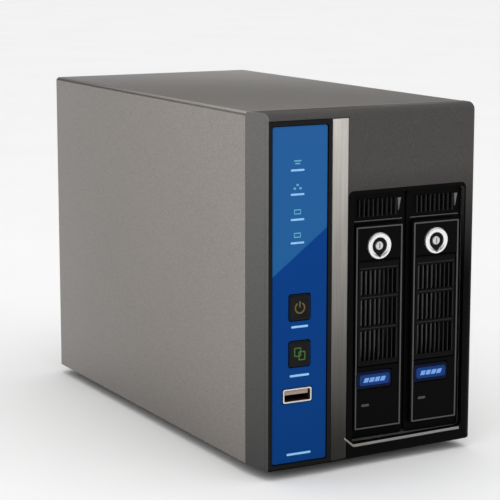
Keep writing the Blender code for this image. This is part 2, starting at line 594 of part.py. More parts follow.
MATERIALS = {
    "paint": make_material("cover_paint", (0.30, 0.27, 0.245), 0.38, 0.35),
    "dark_steel": make_material("rear_paint", (0.065, 0.052, 0.048), 0.5, 0.1),
    "zinc": make_material("zinc_steel", (0.55, 0.56, 0.57), 0.42, 0.9),
    "rubber": make_material("rubber", (0.015, 0.015, 0.015), 0.85),
    "bezel": make_material("bezel_plastic", (0.075, 0.072, 0.07), 0.35),
    "gloss_black": make_material("gloss_black", (0.008, 0.008, 0.009), 0.15),
    "tray": make_material("tray_plastic", (0.012, 0.012, 0.013), 0.4),
    "lens": make_material("lens_blue", (0.01, 0.09, 0.33), 0.12),
    "silver": make_material("silver_trim", (0.55, 0.54, 0.51), 0.25, 0.7),
    "clear": make_material("clear_plastic", (0.75, 0.8, 0.82), 0.15),
    "board": make_material("circuit_board", (0.02, 0.13, 0.05), 0.45),
    "port": make_material("port_steel", (0.72, 0.71, 0.68), 0.28, 0.9),
    "white": make_material("white_plastic", (0.8, 0.8, 0.78), 0.4),
    "esata": make_material("esata_red", (0.38, 0.012, 0.02), 0.35),
    "terminal": make_material("terminal_green", (0.46, 0.55, 0.42), 0.45),
    "matte_black": make_material("matte_black", (0.012, 0.012, 0.012), 0.6),
    "dark_grey": make_material("fan_grey", (0.03, 0.03, 0.032), 0.5),
    "screw": make_material("screw_steel", (0.62, 0.61, 0.6), 0.25, 1.0),
    "lock": make_material("lock_metal", (0.6, 0.6, 0.6), 0.25, 0.9),
    "drive": make_material("drive_metal", (0.4, 0.41, 0.42), 0.35, 0.9),
    "aluminium": make_material("aluminium", (0.6, 0.61, 0.62), 0.35, 1.0),
}
M = MATERIALS

make_case(M["paint"], M["dark_steel"], M["zinc"])
make_rear_panel(M["dark_steel"], M["screw"])
make_bezel(M["bezel"])
make_indicator_panel(M["gloss_black"], M["lens"], M["silver"], M["clear"])
make_front_controls(M["gloss_black"], M["board"], M["port"], M["white"])
make_rear_sockets(M["port"], M["gloss_black"], M["esata"], M["terminal"], M["matte_black"])
make_fan(M["matte_black"], M["dark_grey"], M["screw"])
make_cage_and_backplane(M["zinc"], M["board"], M["matte_black"])
for tray_number, tray_x in enumerate(TRAY_X, 1):
    make_tray(tray_number, tray_x, M["tray"], M["gloss_black"], M["lens"], M["lock"], M["zinc"], M["drive"],
              M["board"])
make_mainboard(M["board"], M["aluminium"])
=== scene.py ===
"""Looks for the two-bay network storage unit: detailed pieces, materials, light and camera.

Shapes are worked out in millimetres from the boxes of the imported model's nodes.
"""
import math

import bmesh
import bpy
from mathutils import Matrix, Vector


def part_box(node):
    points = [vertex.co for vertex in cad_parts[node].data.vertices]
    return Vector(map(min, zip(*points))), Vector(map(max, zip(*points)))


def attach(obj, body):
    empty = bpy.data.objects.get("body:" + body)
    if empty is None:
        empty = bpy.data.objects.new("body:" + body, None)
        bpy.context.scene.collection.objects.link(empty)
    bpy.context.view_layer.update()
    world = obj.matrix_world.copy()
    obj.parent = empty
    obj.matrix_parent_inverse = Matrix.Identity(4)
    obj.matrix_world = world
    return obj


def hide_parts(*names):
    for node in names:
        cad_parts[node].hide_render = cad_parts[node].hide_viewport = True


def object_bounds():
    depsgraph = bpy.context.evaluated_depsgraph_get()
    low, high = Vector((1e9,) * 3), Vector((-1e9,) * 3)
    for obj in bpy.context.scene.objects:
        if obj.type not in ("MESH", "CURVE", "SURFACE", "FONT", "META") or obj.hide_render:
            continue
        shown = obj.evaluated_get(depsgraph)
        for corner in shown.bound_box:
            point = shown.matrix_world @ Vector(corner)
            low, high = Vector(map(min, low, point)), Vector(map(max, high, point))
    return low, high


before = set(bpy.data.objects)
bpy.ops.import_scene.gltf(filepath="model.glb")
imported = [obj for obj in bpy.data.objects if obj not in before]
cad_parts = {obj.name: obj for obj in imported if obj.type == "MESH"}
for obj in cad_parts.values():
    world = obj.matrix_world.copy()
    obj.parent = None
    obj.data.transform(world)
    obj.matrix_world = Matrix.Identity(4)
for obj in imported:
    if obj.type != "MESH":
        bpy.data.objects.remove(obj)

CAD_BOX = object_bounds()
MM = 0.001
SMOOTH_ANGLE = 35.0
CUT, ADD = "DIFFERENCE", "UNION"


class Span:
    """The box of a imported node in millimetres: x, y and z are (low, high) pairs."""

    def __init__(self, node):
        low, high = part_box(node)
        self.x, self.y, self.z = [(low[i] / MM, high[i] / MM) for i in range(3)]
        self.cx, self.cy, self.cz = [sum(pair) / 2 for pair in (self.x, self.y, self.z)]


# ---- outlines and solids

def arc(cu, cv, radius, start, end, steps):
    points = []
    for i in range(steps + 1):
        angle = math.radians(start + (end - start) * i / steps)
        points.append((cu + radius * math.cos(angle), cv + radius * math.sin(angle)))
    return points


def circle(cu, cv, radius, sides):
    return arc(cu, cv, radius, 0, 360 * (sides - 1) / sides, sides - 1)


def around(value, half):
    return (value - half, value + half)


def grow(pair, by):
    return (pair[0] - by, pair[1] + by)


def rounded(u, v, radius, steps=4):
    """Rectangle with round corners, anticlockwise from the low right corner."""
    outline = []
    for cu, cv, start in ((u[1] - radius, v[0] + radius, -90), (u[1] - radius, v[1] - radius, 0),
                          (u[0] + radius, v[1] - radius, 90), (u[0] + radius, v[0] + radius, 180)):
        outline += arc(cu, cv, radius, start, start + 90, steps)
    return outline


PLACE = {
    "X": lambda a, u, v: (a, u, v),
    "Y": lambda a, u, v: (u, a, v),
    "Z": lambda a, u, v: (u, v, a),
}


def loft(axis, stations):
    """Solid through equal-count outlines; a station is (place along the axis, outline)."""
    verts = [PLACE[axis](place, u, v) for place, outline in stations for u, v in outline]
    count = len(stations[0][1])
    faces = [tuple(range(count)), tuple(range(len(verts) - count, len(verts)))]
    for ring in range(len(stations) - 1):
        near, far = ring * count, (ring + 1) * count
        for i in range(count):
            j = (i + 1) % count
            faces.append((near + i, near + j, far + j, far + i))
    return verts, faces


def prism(axis, outline, low, high):
    return loft(axis, [(low, outline), (high, outline)])


def box(x, y, z):
    return prism("Z", [(x[0], y[0]), (x[1], y[0]), (x[1], y[1]), (x[0], y[1])], z[0], z[1])


def slab(x, z, radius, low, high, steps=4):
    """Plate across Y with round corners."""
    return prism("Y", rounded(x, z, radius, steps), low, high)


def inset_slab(span, inset, radius, low, high):
    """Plate across Y with a span's outline, drawn in all round by inset or let out where it is negative."""
    return slab(grow(span.x, -inset), grow(span.z, -inset), radius, low, high)


def tapered(span, stations, steps=4):
    """Solid along Y with a span's outline: a station is (place, inset, corner radius)."""
    return loft("Y", [(y, rounded(grow(span.x, -inset), grow(span.z, -inset), radius, steps))
                      for y, inset, radius in stations])


def rod(axis, centre, radius, low, high, sides=32):
    return prism(axis, circle(centre[0], centre[1], radius, sides), low, high)


def lathe(axis, centre, profile, sides=40):
    """Solid turned about an axis: profile is (place, radius) from one flat end to the other."""
    return loft(axis, [(place, circle(centre[0], centre[1], radius, sides)) for place, radius in profile])


def arc_band(centre, radius, width, start, end, steps=10):
    """Outline of a curved slot between two angles, with round ends."""
    outer = arc(*centre, radius + width / 2, start, end, steps)
    inner = arc(*centre, radius - width / 2, end, start, steps)
    caps = []
    for angle, turn in ((end, end), (start, start + 180)):
        at = math.radians(angle)
        middle = (centre[0] + radius * math.cos(at), centre[1] + radius * math.sin(at))
        caps.append(arc(*middle, width / 2, turn, turn + 180, 4)[1:-1])
    return outer + caps[0] + inner + caps[1]


# ---- objects


def raw_object(name, shapes):
    bm = bmesh.new()
    for verts, faces in shapes:
        made = [bm.verts.new(Vector(co) * MM) for co in verts]
        for face in faces:
            bm.faces.new([made[i] for i in face])
    bmesh.ops.recalc_face_normals(bm, faces=bm.faces[:])
    mesh = bpy.data.meshes.new(name)
    bm.to_mesh(mesh)
    bm.free()
    obj = bpy.data.objects.new(name, mesh)
    bpy.context.scene.collection.objects.link(obj)
    return obj


def bake(obj):
    """Applies the object's modifiers."""
    graph = bpy.context.evaluated_depsgraph_get()
    mesh = bpy.data.meshes.new_from_object(obj.evaluated_get(graph), depsgraph=graph)
    old = obj.data
    obj.modifiers.clear()
    obj.data = mesh
    mesh.name = obj.name
    bpy.data.meshes.remove(old)


def combine(obj, operation, shapes):
    """Cuts shapes from a solid or joins them to it."""
    tool = raw_object("tool", shapes)
    boolean = obj.modifiers.new("combine", "BOOLEAN")
    boolean.operation = operation
    boolean.object = tool
    bake(obj)
    mesh = tool.data
    bpy.data.objects.remove(tool)
    bpy.data.meshes.remove(mesh)


def soften(obj, width, segments=2, angle=30.0):
    """Rounds the sharp edges and shades the rest smooth."""
    obj.data.shade_smooth()
    if width:
        bevel = obj.modifiers.new("bevel", "BEVEL")
        bevel.width = width * MM
        bevel.segments = segments
        bevel.limit_method = "ANGLE"
        bevel.angle_limit = math.radians(angle)
        bevel.miter_outer = "MITER_ARC"
        bevel.harden_normals = True
        bake(obj)
    else:
        obj.data.set_sharp_from_angle(angle=math.radians(SMOOTH_ANGLE))


def dress(look, *objects):
    for obj in objects:
        obj.data.materials.clear()
        obj.data.materials.append(look)


def make(name, look, shapes, steps=(), stands_for=(), body="case", bevel=0.0, segments=2,
         angle=30.0):
    """One visible piece: solids, Boolean steps, rounded edges, material and the body it rides on."""
    obj = raw_object(name, shapes)
    for operation, *tools in steps:
        combine(obj, operation, tools)
    soften(obj, bevel, segments, angle)
    dress(look, obj)
    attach(obj, body)
    if stands_for:
        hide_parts(*stands_for)


# ---- materials

def set_range(node, start, end, first, last):
    """Sets a Map Range node so that it turns start..end into first..last."""
    for key, number in (("From Min", start), ("From Max", end), ("To Min", first), ("To Max", last)):
        node.inputs[key].default_value = number


class Nodes:
    """Small helper for building a Principled material; lengths in shader values are in metres."""

    def __init__(self, name, slot=None):
        self.material = bpy.data.materials.new(name)
        self.material.use_nodes = True
        self.tree = self.material.node_tree
        self.surface = self.tree.nodes["Principled BSDF"]
        self.coords = self.new("ShaderNodeTexCoord").outputs["Object"]

    def new(self, kind, **values):
        node = self.tree.nodes.new(kind)
        for key, value in values.items():
            setattr(node, key, value)
        return node

    def link(self, out, socket):
        self.tree.links.new(out, socket)

    def mapped(self, scale):
        node = self.new("ShaderNodeMapping")
        self.link(self.coords, node.inputs["Vector"])
        node.inputs["Scale"].default_value = scale
        return node.outputs["Vector"]

    def noise(self, scale, detail=2.0, stretch=(1.0, 1.0, 1.0)):
        node = self.new("ShaderNodeTexNoise")
        self.link(self.mapped(stretch), node.inputs["Vector"])
        node.inputs["Scale"].default_value = scale
        node.inputs["Detail"].default_value = detail
        return node.outputs["Fac"]

    def ranged(self, value, low, high, from_low=0.3, from_high=0.7):
        node = self.new("ShaderNodeMapRange")
        self.link(value, node.inputs["Value"])
        set_range(node, from_low, from_high, low, high)
        return node.outputs["Result"]

    def blend(self, factor, first, second):
        """Mix of two colours; each is a colour or a socket."""
        node = self.new("ShaderNodeMix", data_type="RGBA")
        self.link(factor, node.inputs["Factor"])
        for value, socket in ((first, node.inputs["A"]), (second, node.inputs["B"])):
            if isinstance(value, bpy.types.NodeSocket):
                self.link(value, socket)
            else:
                socket.default_value = (*value, 1.0)
        return node.outputs["Result"]

    def height(self, axis, low, high, to_low=0.0, to_high=1.0):
        """Ramp along an axis between two places in millimetres."""
        split = self.new("ShaderNodeSeparateXYZ")
        self.link(self.coords, split.inputs["Vector"])
        return self.ranged(split.outputs[axis], to_low, to_high, low * MM, high * MM)

    def far_out(self, left, right):
        """0 near the middle of the case, 1 beyond these distances from it to the left and the right."""
        split = self.new("ShaderNodeSeparateXYZ")
        self.link(self.coords, split.inputs["Vector"])
        shifted = self.new("ShaderNodeMath", operation="SUBTRACT")
        self.link(split.outputs["X"], shifted.inputs[0])
        shifted.inputs[1].default_value = (right - left) / 2 * MM
        distance = self.new("ShaderNodeMath", operation="ABSOLUTE")
        self.link(shifted.outputs["Value"], distance.inputs[0])
        start = (left + right) / 2
        return self.ranged(distance.outputs["Value"], 0.0, 1.0, start * MM, (start + 0.6) * MM)

    def power(self, value, exponent):
        node = self.new("ShaderNodeMath", operation="POWER")
        self.link(value, node.inputs[0])
        node.inputs[1].default_value = exponent
        return node.outputs["Value"]

    def speckled(self, colour, grain, spread):
        """Colour made lighter and darker by a grain value."""
        node = self.new("ShaderNodeMix", data_type="RGBA", blend_type="MULTIPLY")
        node.inputs["Factor"].default_value = 1.0
        self.link(colour, node.inputs["A"])
        self.link(self.ranged(grain, 1.0 - spread, 1.0 + spread), node.inputs["B"])
        return node.outputs["Result"]

    def bump(self, value, strength, depth):
        node = self.new("ShaderNodeBump")
        node.inputs["Strength"].default_value = strength
        node.inputs["Distance"].default_value = depth
        self.link(value, node.inputs["Height"])
        self.link(node.outputs["Normal"], self.surface.inputs["Normal"])

    def set(self, **values):
        names = {"metallic": "Metallic", "coat": "Coat Weight", "coat_rough": "Coat Roughness",
                 "specular": "Specular IOR Level", "glow": "Emission Strength"}
        for key, value in values.items():
            self.surface.inputs[names[key]].default_value = value


def tinted(colour, factor):
    return tuple(min(1.0, c * factor) for c in colour)


def finish(name, colour, rough, metallic=0.0, grain=2200.0, depth=0.00002, spread=0.08,
           stretch=(1.0, 1.0, 1.0), coat=0.0, cloud=28.0, specular=0.5, slot=None):
    """General surface: slight colour clouds, a roughness that varies and a fine grain."""
    n = Nodes(name, slot)
    clouds = n.noise(cloud, 3.0)
    fine = n.noise(grain, 2.0, stretch)
    shade = n.blend(n.ranged(clouds, 0.0, 1.0), tinted(colour, 1 - spread), tinted(colour, 1 + spread))
    n.link(n.blend(n.ranged(fine, 0.0, 1.0), tinted(colour, 1 - spread), shade),
           n.surface.inputs["Base Color"])
    n.link(n.ranged(clouds, rough * 0.85, rough * 1.2), n.surface.inputs["Roughness"])
    n.bump(fine, 0.5, depth)
    n.set(metallic=metallic, coat=coat, coat_rough=0.08, specular=specular)
    return n.material


def graded(name, low_colour, high_colour, z_range, rough, metallic, grain, stretch, specular=0.5,
           flank_shading=None):
    """Moulded or brushed surface with painted shade: its tone deepens towards the bottom of the case,
    standing in for darker reflections there.

    flank_shading gives the low and high tone of the case's sides, a painted shade lighter towards the top,
    and how far from the middle they start on the left and on the right.
    """
    n = Nodes(name)
    fine = n.noise(grain, 2.0, stretch)
    tone = n.blend(n.power(n.height("Z", *z_range), 1.4), low_colour, high_colour)
    if flank_shading:
        low_tone, high_tone, left, right = flank_shading
        flank_shade = n.blend(n.height("Z", 0.0, 135.0), low_tone, high_tone)
        tone = n.blend(n.far_out(left, right), tone, flank_shade)
    n.link(n.speckled(tone, fine, 0.12), n.surface.inputs["Base Color"])
    n.link(n.ranged(n.noise(30.0, 3.0), rough * 0.85, rough * 1.2), n.surface.inputs["Roughness"])
    n.bump(fine, 0.4, 0.00001)
    n.set(metallic=metallic, specular=specular)
    return n.material


def paint_material():
    """Warm grey metallic paint: fine flakes under a satin skin with a faint orange peel, with painted
    shade: the sides lighter towards the top and darker towards the rear, the top a tone of its own, and the
    rear fold darkened towards the rear panel's brown.
    """
    n = Nodes("cover_paint")
    base = PAINT_COLOUR
    height = n.height("Z", 0.0, 149.0)
    flakes = n.new("ShaderNodeTexVoronoi")
    n.link(n.mapped((1.0, 1.0, 1.0)), flakes.inputs["Vector"])
    flakes.inputs["Scale"].default_value = 2600.0
    split = n.new("ShaderNodeSeparateColor")
    n.link(flakes.outputs["Color"], split.inputs["Color"])
    clouds = n.noise(14.0, 2.0)
    # painted shade: the sides darken towards the bottom and the rear, and the top gets a tone of its own,
    # for light falling unevenly
    shaded_side_front = n.blend(height, tinted(base, 0.78), tinted(base, 1.16))
    shaded_side_rear = n.blend(height, tinted(base, 0.69), tinted(base, 0.75))
    side = n.blend(n.height("Y", -94.0, 104.0), shaded_side_front, shaded_side_rear)
    top_and_side_shading = n.blend(n.far_out(51.6, 51.6), tinted(base, 1.07), side)
    # painted shade: the cover's rear fold darkens towards the rear panel's brown
    rear_edge_shade = n.height("Y", 103.2, 104.6)
    tone = n.speckled(n.blend(rear_edge_shade, top_and_side_shading, tinted(REAR_COLOUR, 1.4)), clouds, 0.02)
    n.link(n.speckled(tone, split.outputs["Red"], 0.10), n.surface.inputs["Base Color"])
    n.link(n.ranged(n.noise(60.0, 3.0), 0.30, 0.32), n.surface.inputs["Roughness"])
    n.bump(n.noise(700.0, 2.0), 0.35, 0.00002)
    n.set(metallic=0.95)
    return n.material


def lens_material(panel):
    """Blue indicator window with a painted reflection: lighter above a slanted line and darker below it."""
    n = Nodes("lens_blue")
    split = n.new("ShaderNodeSeparateXYZ")
    n.link(n.coords, split.inputs["Vector"])
    slant = n.new("ShaderNodeMath", operation="MULTIPLY_ADD")
    n.link(split.outputs["X"], slant.inputs[0])
    slant.inputs[1].default_value = -REFLECTION_SLANT
    n.link(split.outputs["Z"], slant.inputs[2])
    edge = (REFLECTION_LINE_Z - REFLECTION_SLANT * panel.x[0]) * MM
    upper = n.ranged(slant.outputs["Value"], 0.0, 1.0, edge - 0.0004, edge + 0.0004)
    # painted reflection: the lighter blue above the line stands for a soft reflection on the glossy window
    light = n.blend(n.height("Z", 90.0, 145.0), (0.014, 0.100, 0.285), (0.015, 0.098, 0.290))
    dark = n.blend(n.height("Z", 5.0, 95.0), (0.0006, 0.039, 0.185), (0.0006, 0.041, 0.212))
    n.link(n.blend(upper, dark, light), n.surface.inputs["Base Color"])
    n.link(n.ranged(n.noise(40.0), 0.10, 0.16), n.surface.inputs["Roughness"])
    n.bump(n.noise(120.0, 1.0), 0.15, 0.00002)
    n.set(specular=0.05)
    return n.material


def board_material():
    """Green solder mask over a faint net of raised tracks."""
    n = Nodes("circuit_board")
    colour = (0.012, 0.11, 0.035)
    tracks = n.new("ShaderNodeTexVoronoi", feature="DISTANCE_TO_EDGE")
    n.link(n.mapped((1.0, 1.0, 1.0)), tracks.inputs["Vector"])
    tracks.inputs["Scale"].default_value = 260.0
    lines = n.ranged(tracks.outputs["Distance"], 1.0, 0.0, 0.02, 0.05)
    n.link(n.blend(lines, colour, tinted(colour, 1.9)), n.surface.inputs["Base Color"])
    n.link(n.ranged(n.noise(80.0), 0.28, 0.42), n.surface.inputs["Roughness"])
    n.bump(lines, 0.3, 0.00003)
    n.set(coat=0.3, coat_rough=0.2)
    return n.material


def glow(name, colour, strength, slot):
    """Printed or lit mark that shines faintly in its own colour: a painted glow, with no lamp behind it."""
    n = Nodes(name, slot)
    shade = n.blend(n.ranged(n.noise(900.0), 0.0, 1.0), tinted(colour, 0.85), colour)
    n.link(shade, n.surface.inputs["Base Color"])
    n.link(n.ranged(n.noise(300.0), 0.25, 0.35), n.surface.inputs["Roughness"])
    n.surface.inputs["Emission Color"].default_value = (*colour, 1.0)
    n.set(glow=strength)
    return n.material


PAINT_COLOUR = (0.298, 0.275, 0.257)
REAR_COLOUR = (0.070, 0.050, 0.047)
REFLECTION_LINE_Z = 84.0               # where the painted reflection's lighter blue meets the darker blue at the window's left edge
REFLECTION_SLANT = 0.74                # rise of that line for each millimetre to the right
INDICATOR_Z = (128.6, 118.9, 108.8, 99.4)     # heights of the four lamps

PAINT = paint_material()
REAR_PAINT = finish("rear_paint", REAR_COLOUR, 0.45, 0.15, grain=900.0, depth=0.00003, spread=0.10,
                    specular=0.3)
# painted shade and reflection: the bezel darkens towards the bottom and its flanks lighten towards the top;
# the silver strip runs from bright at the top to dark at the bottom, standing in for its reflections
BEZEL = graded("bezel_plastic", (0.002, 0.002, 0.002), (0.066, 0.063, 0.061), (76.0, 124.0), 0.40, 0.0,
               1500.0, (1.0, 1.0, 1.0), specular=0.03,
               flank_shading=((0.059, 0.059, 0.058), (0.148, 0.146, 0.143), 49.2, 51.9))
SILVER = graded("silver_trim", (0.020, 0.018, 0.015), (0.54, 0.515, 0.48), (12.0, 140.0), 0.33, 0.6,
                900.0, (1.0, 1.0, 0.04))
SILL = finish("sill_trim", (0.32, 0.305, 0.29), 0.3, 0.8, grain=900.0, stretch=(0.04, 1.0, 1.0),
              slot="silver_trim")
GLOSS_BLACK = finish("gloss_black", (0.002, 0.002, 0.0025), 0.16, spread=0.2, specular=0.14)
TRAY_BLACK = finish("tray_plastic", (0.0015, 0.0015, 0.0015), 0.42, grain=1600.0, depth=0.00003,
                    spread=0.2, specular=0.04)
LEVER_BLACK = finish("lever_plastic", (0.002, 0.002, 0.002), 0.38, grain=1600.0, spread=0.15,
                     specular=0.06, slot="gloss_black")
# painted highlights: lighter copies of the tray plastic for the light on its raised lines, ledge and grille
# bars
RAIL_HIGHLIGHT = finish("tray_line_highlight", (0.072, 0.070, 0.070), 0.35, specular=0.3, slot="tray_plastic")
RIB_HIGHLIGHT = finish("grille_rib_highlight", (0.019, 0.018, 0.018), 0.4, specular=0.1, slot="tray_plastic")
# painted highlight: a lighter copy of the tray plastic for the glint at the comb's right end
PAINTED_GLINT = finish("tray_painted_glint", (0.12, 0.12, 0.115), 0.35, slot="tray_plastic")
MATTE_BLACK = finish("matte_black", (0.004, 0.004, 0.004), 0.6, grain=1400.0, depth=0.00004, spread=0.2,
                     specular=0.12)
TOP_BLACK = finish("top_plate_black", (0.006, 0.002, 0.0018), 0.5, grain=900.0, depth=0.00003,
                   specular=0.09, slot="rear_paint")
RUBBER = finish("rubber", (0.008, 0.008, 0.008), 0.85, grain=1200.0, depth=0.00006, spread=0.2,
                specular=0.2)
LENS = lens_material(Span("panel_lens"))
TAB_BLUE = finish("tab_blue", (0.0006, 0.003, 0.020), 0.25, spread=0.15, specular=0.08)
TAB_FIELD = finish("tab_field", (0.004, 0.040, 0.19), 0.25, spread=0.15, specular=0.1, slot="tab_blue")
# painted glow: the indicator icons, the printed dashes and the tab's bars shine faintly though no lamp
# lights them
CYAN_GLOW = glow("indicator_glow", (0.08, 0.36, 0.50), 0.15, slot="clear_plastic")
GLOWING_PALE_INK = glow("pale_ink_glow", (0.22, 0.48, 0.76), 0.16, slot="white_plastic")
TAB_GLOW = glow("tab_glow", (0.13, 0.28, 0.66), 0.25, slot="lens_blue")
GOLD = finish("amber_mark", (0.13, 0.095, 0.035), 0.35, specular=0.15, slot="lens_blue")
GREEN = finish("green_mark", (0.045, 0.13, 0.028), 0.35, specular=0.15, slot="terminal_green")
PALE_GREY = finish("pale_grey", (0.035, 0.035, 0.035), 0.35, slot="clear_plastic")
PORT_STEEL = finish("port_steel", (0.74, 0.72, 0.68), 0.27, 0.9, grain=1500.0, stretch=(1.0, 0.08, 1.0))
# painted shade: a dark sheet lining the steel shell where its inside lies in shade
USB_SHADE_LINER = finish("usb_shade_liner", (0.020, 0.007, 0.005), 0.5, specular=0.1, slot="gloss_black")
# painted shade: the white plastic tongue is given the darker warm tone it shows inside the socket
SHADED_IVORY = finish("usb_tongue", (0.38, 0.29, 0.24), 0.4, specular=0.2, slot="white_plastic")
# painted highlight: light marks on the rear sheet's pressed edges
EDGE_HIGHLIGHT = finish("painted_edge_highlight", (0.34, 0.33, 0.33), 0.35, 0.5, spread=0.3, cloud=400.0, slot="screw_steel")
GILT = finish("gilt_contact", (0.80, 0.58, 0.22), 0.25, 1.0, slot="port_steel")
CHROME = finish("lock_metal", (0.86, 0.86, 0.86), 0.22, 0.85, spread=0.05)
LOCK_CORE = finish("lock_core", (0.66, 0.66, 0.66), 0.30, 0.7, slot="lock_metal")
SCREW = finish("screw_steel", (0.70, 0.69, 0.67), 0.22, 1.0)
DARK_STEEL = finish("dark_steel", (0.17, 0.16, 0.155), 0.16, 1.0, slot="screw_steel")
BLACK_SCREW = finish("black_screw", (0.018, 0.017, 0.017), 0.38, 0.4)
ESATA_RED = finish("socket_red", (0.38, 0.012, 0.026), 0.40, specular=0.3)
# painted shade and highlight: a darker copy of the socket red for the tongue deep inside, a lighter pink
# copy for the light on the rim
ESATA_SHADE = finish("socket_shaded_red", (0.34, 0.012, 0.022), 0.42, specular=0.2, slot="socket_red")
ESATA_RIM_HIGHLIGHT = finish("socket_rim_highlight", (0.50, 0.13, 0.14), 0.40, specular=0.3, slot="socket_red")
TERMINAL = finish("terminal_green", (0.52, 0.62, 0.50), 0.42, spread=0.06)
FAN_PLASTIC = finish("fan_plastic", (0.020, 0.020, 0.021), 0.45, grain=1400.0, depth=0.00003)
FAN_RING = finish("fan_ring", (0.42, 0.40, 0.47), 0.30, 0.5, slot="fan_plastic")
FAN_LABEL = finish("fan_label", (0.055, 0.050, 0.050), 0.5, slot="fan_plastic")
ZINC = finish("zinc_steel", (0.56, 0.57, 0.58), 0.36, 0.9, grain=700.0, spread=0.12, cloud=45.0)
BOARD = board_material()
DRIVE_CAST = finish("drive_metal", (0.30, 0.31, 0.32), 0.42, 0.8, grain=1100.0, depth=0.00006)
DRIVE_LID = finish("drive_lid", (0.58, 0.59, 0.60), 0.28, 0.95, grain=900.0, stretch=(1.0, 0.05, 1.0),
                   slot="drive_metal")
DRIVE_LABEL = finish("drive_label", (0.72, 0.72, 0.70), 0.5, spread=0.05, slot="white_plastic")
INK = finish("label_ink", (0.05, 0.05, 0.06), 0.55, slot="matte_black")
CHIP = finish("chip", (0.016, 0.016, 0.017), 0.5, slot="matte_black")
ALUMINIUM = finish("aluminium", (0.62, 0.63, 0.64), 0.34, 1.0, grain=900.0, stretch=(1.0, 0.05, 1.0))
CLEAR = finish("clear_plastic", (0.70, 0.76, 0.78), 0.2, coat=0.3)
GREEN_LAMP = finish("lamp_green", (0.12, 0.32, 0.10), 0.3, coat=0.4, slot="clear_plastic")
AMBER_LAMP = finish("lamp_amber", (0.45, 0.24, 0.04), 0.3, coat=0.4, slot="clear_plastic")


# ---- fasteners

def screw_head(centre, radius, seat, height):
    """Domed head whose flat underside lies at seat, facing the rear."""
    steps = 6
    profile = [(seat, radius), (seat + height * 0.25, radius)]
    for i in range(1, steps):
        angle = math.radians(90 * i / steps)
        profile.append((seat + height * (0.25 + 0.75 * math.sin(angle)), radius * math.cos(angle) ** 0.6))
    profile[-1] = (profile[-1][0], radius * 0.25)
    return lathe("Y", centre, profile, 32)


def turned_box(centre, angle, half_u, half_v):
    """Rectangle turned about its centre."""
    cos, sin = math.cos(math.radians(angle)), math.sin(math.radians(angle))
    return [(centre[0] + u * cos - v * sin, centre[1] + u * sin + v * cos)
            for u, v in ((-half_u, -half_v), (half_u, -half_v), (half_u, half_v), (-half_u, half_v))]


def cross_recess(centre, radius, seat, height, turn):
    """Phillips recess: two tapering bars that cross."""
    deep, shallow = seat + height * 0.35, seat + height + 1.0
    return [loft("Y", [(deep, turned_box(centre, angle, radius * 0.22, radius * 0.09)),
                       (shallow, turned_box(centre, angle, radius * 0.72, radius * 0.17))])
            for angle in (turn, turn + 90.0)]


def make_screw(name, look, node, turn, seat=None):
    """Cross-head screw in place of a packed one; it faces the rear."""
    s = Span(node)
    radius = (s.x[1] - s.x[0]) / 2
    tip, centre = s.y[1], (s.cx, s.cz)
    if seat is None:
        seat = tip - min(1.4, radius * 0.5)
    height = tip - seat
    first, second = cross_recess(centre, radius, seat, height, turn)
    shank = rod("Y", centre, radius * 0.42, s.y[0], seat + height * 0.2, 16)
    make(name, look, [screw_head(centre, radius, seat, height)],
         [(ADD, shank), (CUT, first), (CUT, second)], [node], bevel=0.06)


# ---- case

def cover_outline(half, crest, bottom, thickness):
    """Folded sheet seen from the rear: up one side, across the top, down the other, and back inside."""
    outline = []
    for depth, radius in ((0.0, 1.8), (thickness, 1.8 - thickness)):
        side, top = half - depth, crest - depth
        path = [(-side, bottom)] + arc(-side + radius, top - radius, radius, 180, 90, 8)
        path += arc(side - radius, top - radius, radius, 90, 0, 8) + [(side, bottom)]
        outline += path if depth == 0.0 else path[::-1]
    return outline


def make_cover():
    s = Span("cover")
    thickness, bend, run, inset = 1.0, s.y[1] - 5.0, 1.0, 3.9
    slope = inset / (s.y[1] - bend)
    stations = [(s.y[0], 0.22), (s.y[0] + 0.1, 0.06), (s.y[0] + 0.25, 0.0)]
    for i in range(7):
        y = bend - run + 2 * run * i / 6
        stations.append((y, slope * (y - bend + run) ** 2 / (4 * run)))
    stations += [(s.y[1] - 0.2, inset - 0.2 * slope), (s.y[1], inset)]
    shell = loft("Y", [(y, cover_outline(s.x[1] - side_in, s.z[1] - side_in * 0.5, s.z[0], thickness))
                       for y, side_in in stations])
    make("cover_shell", PAINT, [shell], stands_for=["cover"])


def make_feet():
    for number in range(1, 5):
        s = Span(f"foot_{number}")
        radius = (s.x[1] - s.x[0]) / 2
        low, high = s.z
        profile = [(low, radius * 0.80), (low + 0.15, radius * 0.87), (low + 0.7, radius * 0.95),
                   (low + 1.3, radius), (high - 0.5, radius), (high, radius - 0.4)]
        make(f"foot_pad_{number}", RUBBER, [lathe("Z", (s.cx, s.cy), profile)],
             [(CUT, rod("Z", (s.cx, s.cy), 2.6, low - 1.0, low + 1.2, 24))], [f"foot_{number}"])


# ---- front bezel

LIP_WIDTH = 0.7                  # of the bezel's edge that covers the left side of the panel frame
STRIP_CUT = 1.1
FLANGE = 1.2                     # width of the hidden flange round a button's cap


def bezel_plan(s, strip, back, side):
    """Outline seen from above; back moves the front edge rearward and side draws the flanks in."""
    left, right, front, rear = s.x[0] + side, s.x[1] - side, s.y[0] + back, s.y[1]
    corner = arc(right - 3.1, front + 7.8, 3.1, -86, 0, 8)
    return [(left, rear), (left + 2.1, front + 1.9), (left + 2.25, front + 1.1), (left + 2.6, front + 0.4),
            (left + 3.2, front), (strip.x[0] - 0.1, front + 0.2),
            (strip.x[1] + 0.1, front + 1.2)] + corner + [(right, rear)]


def bezel_front(s, strip, x):
    """Place of the bezel's front face at x, right of the trim strip."""
    share = (x - strip.x[1]) / (s.x[1] - 3.0 - strip.x[1])
    return s.y[0] + 1.2 + share * 3.55


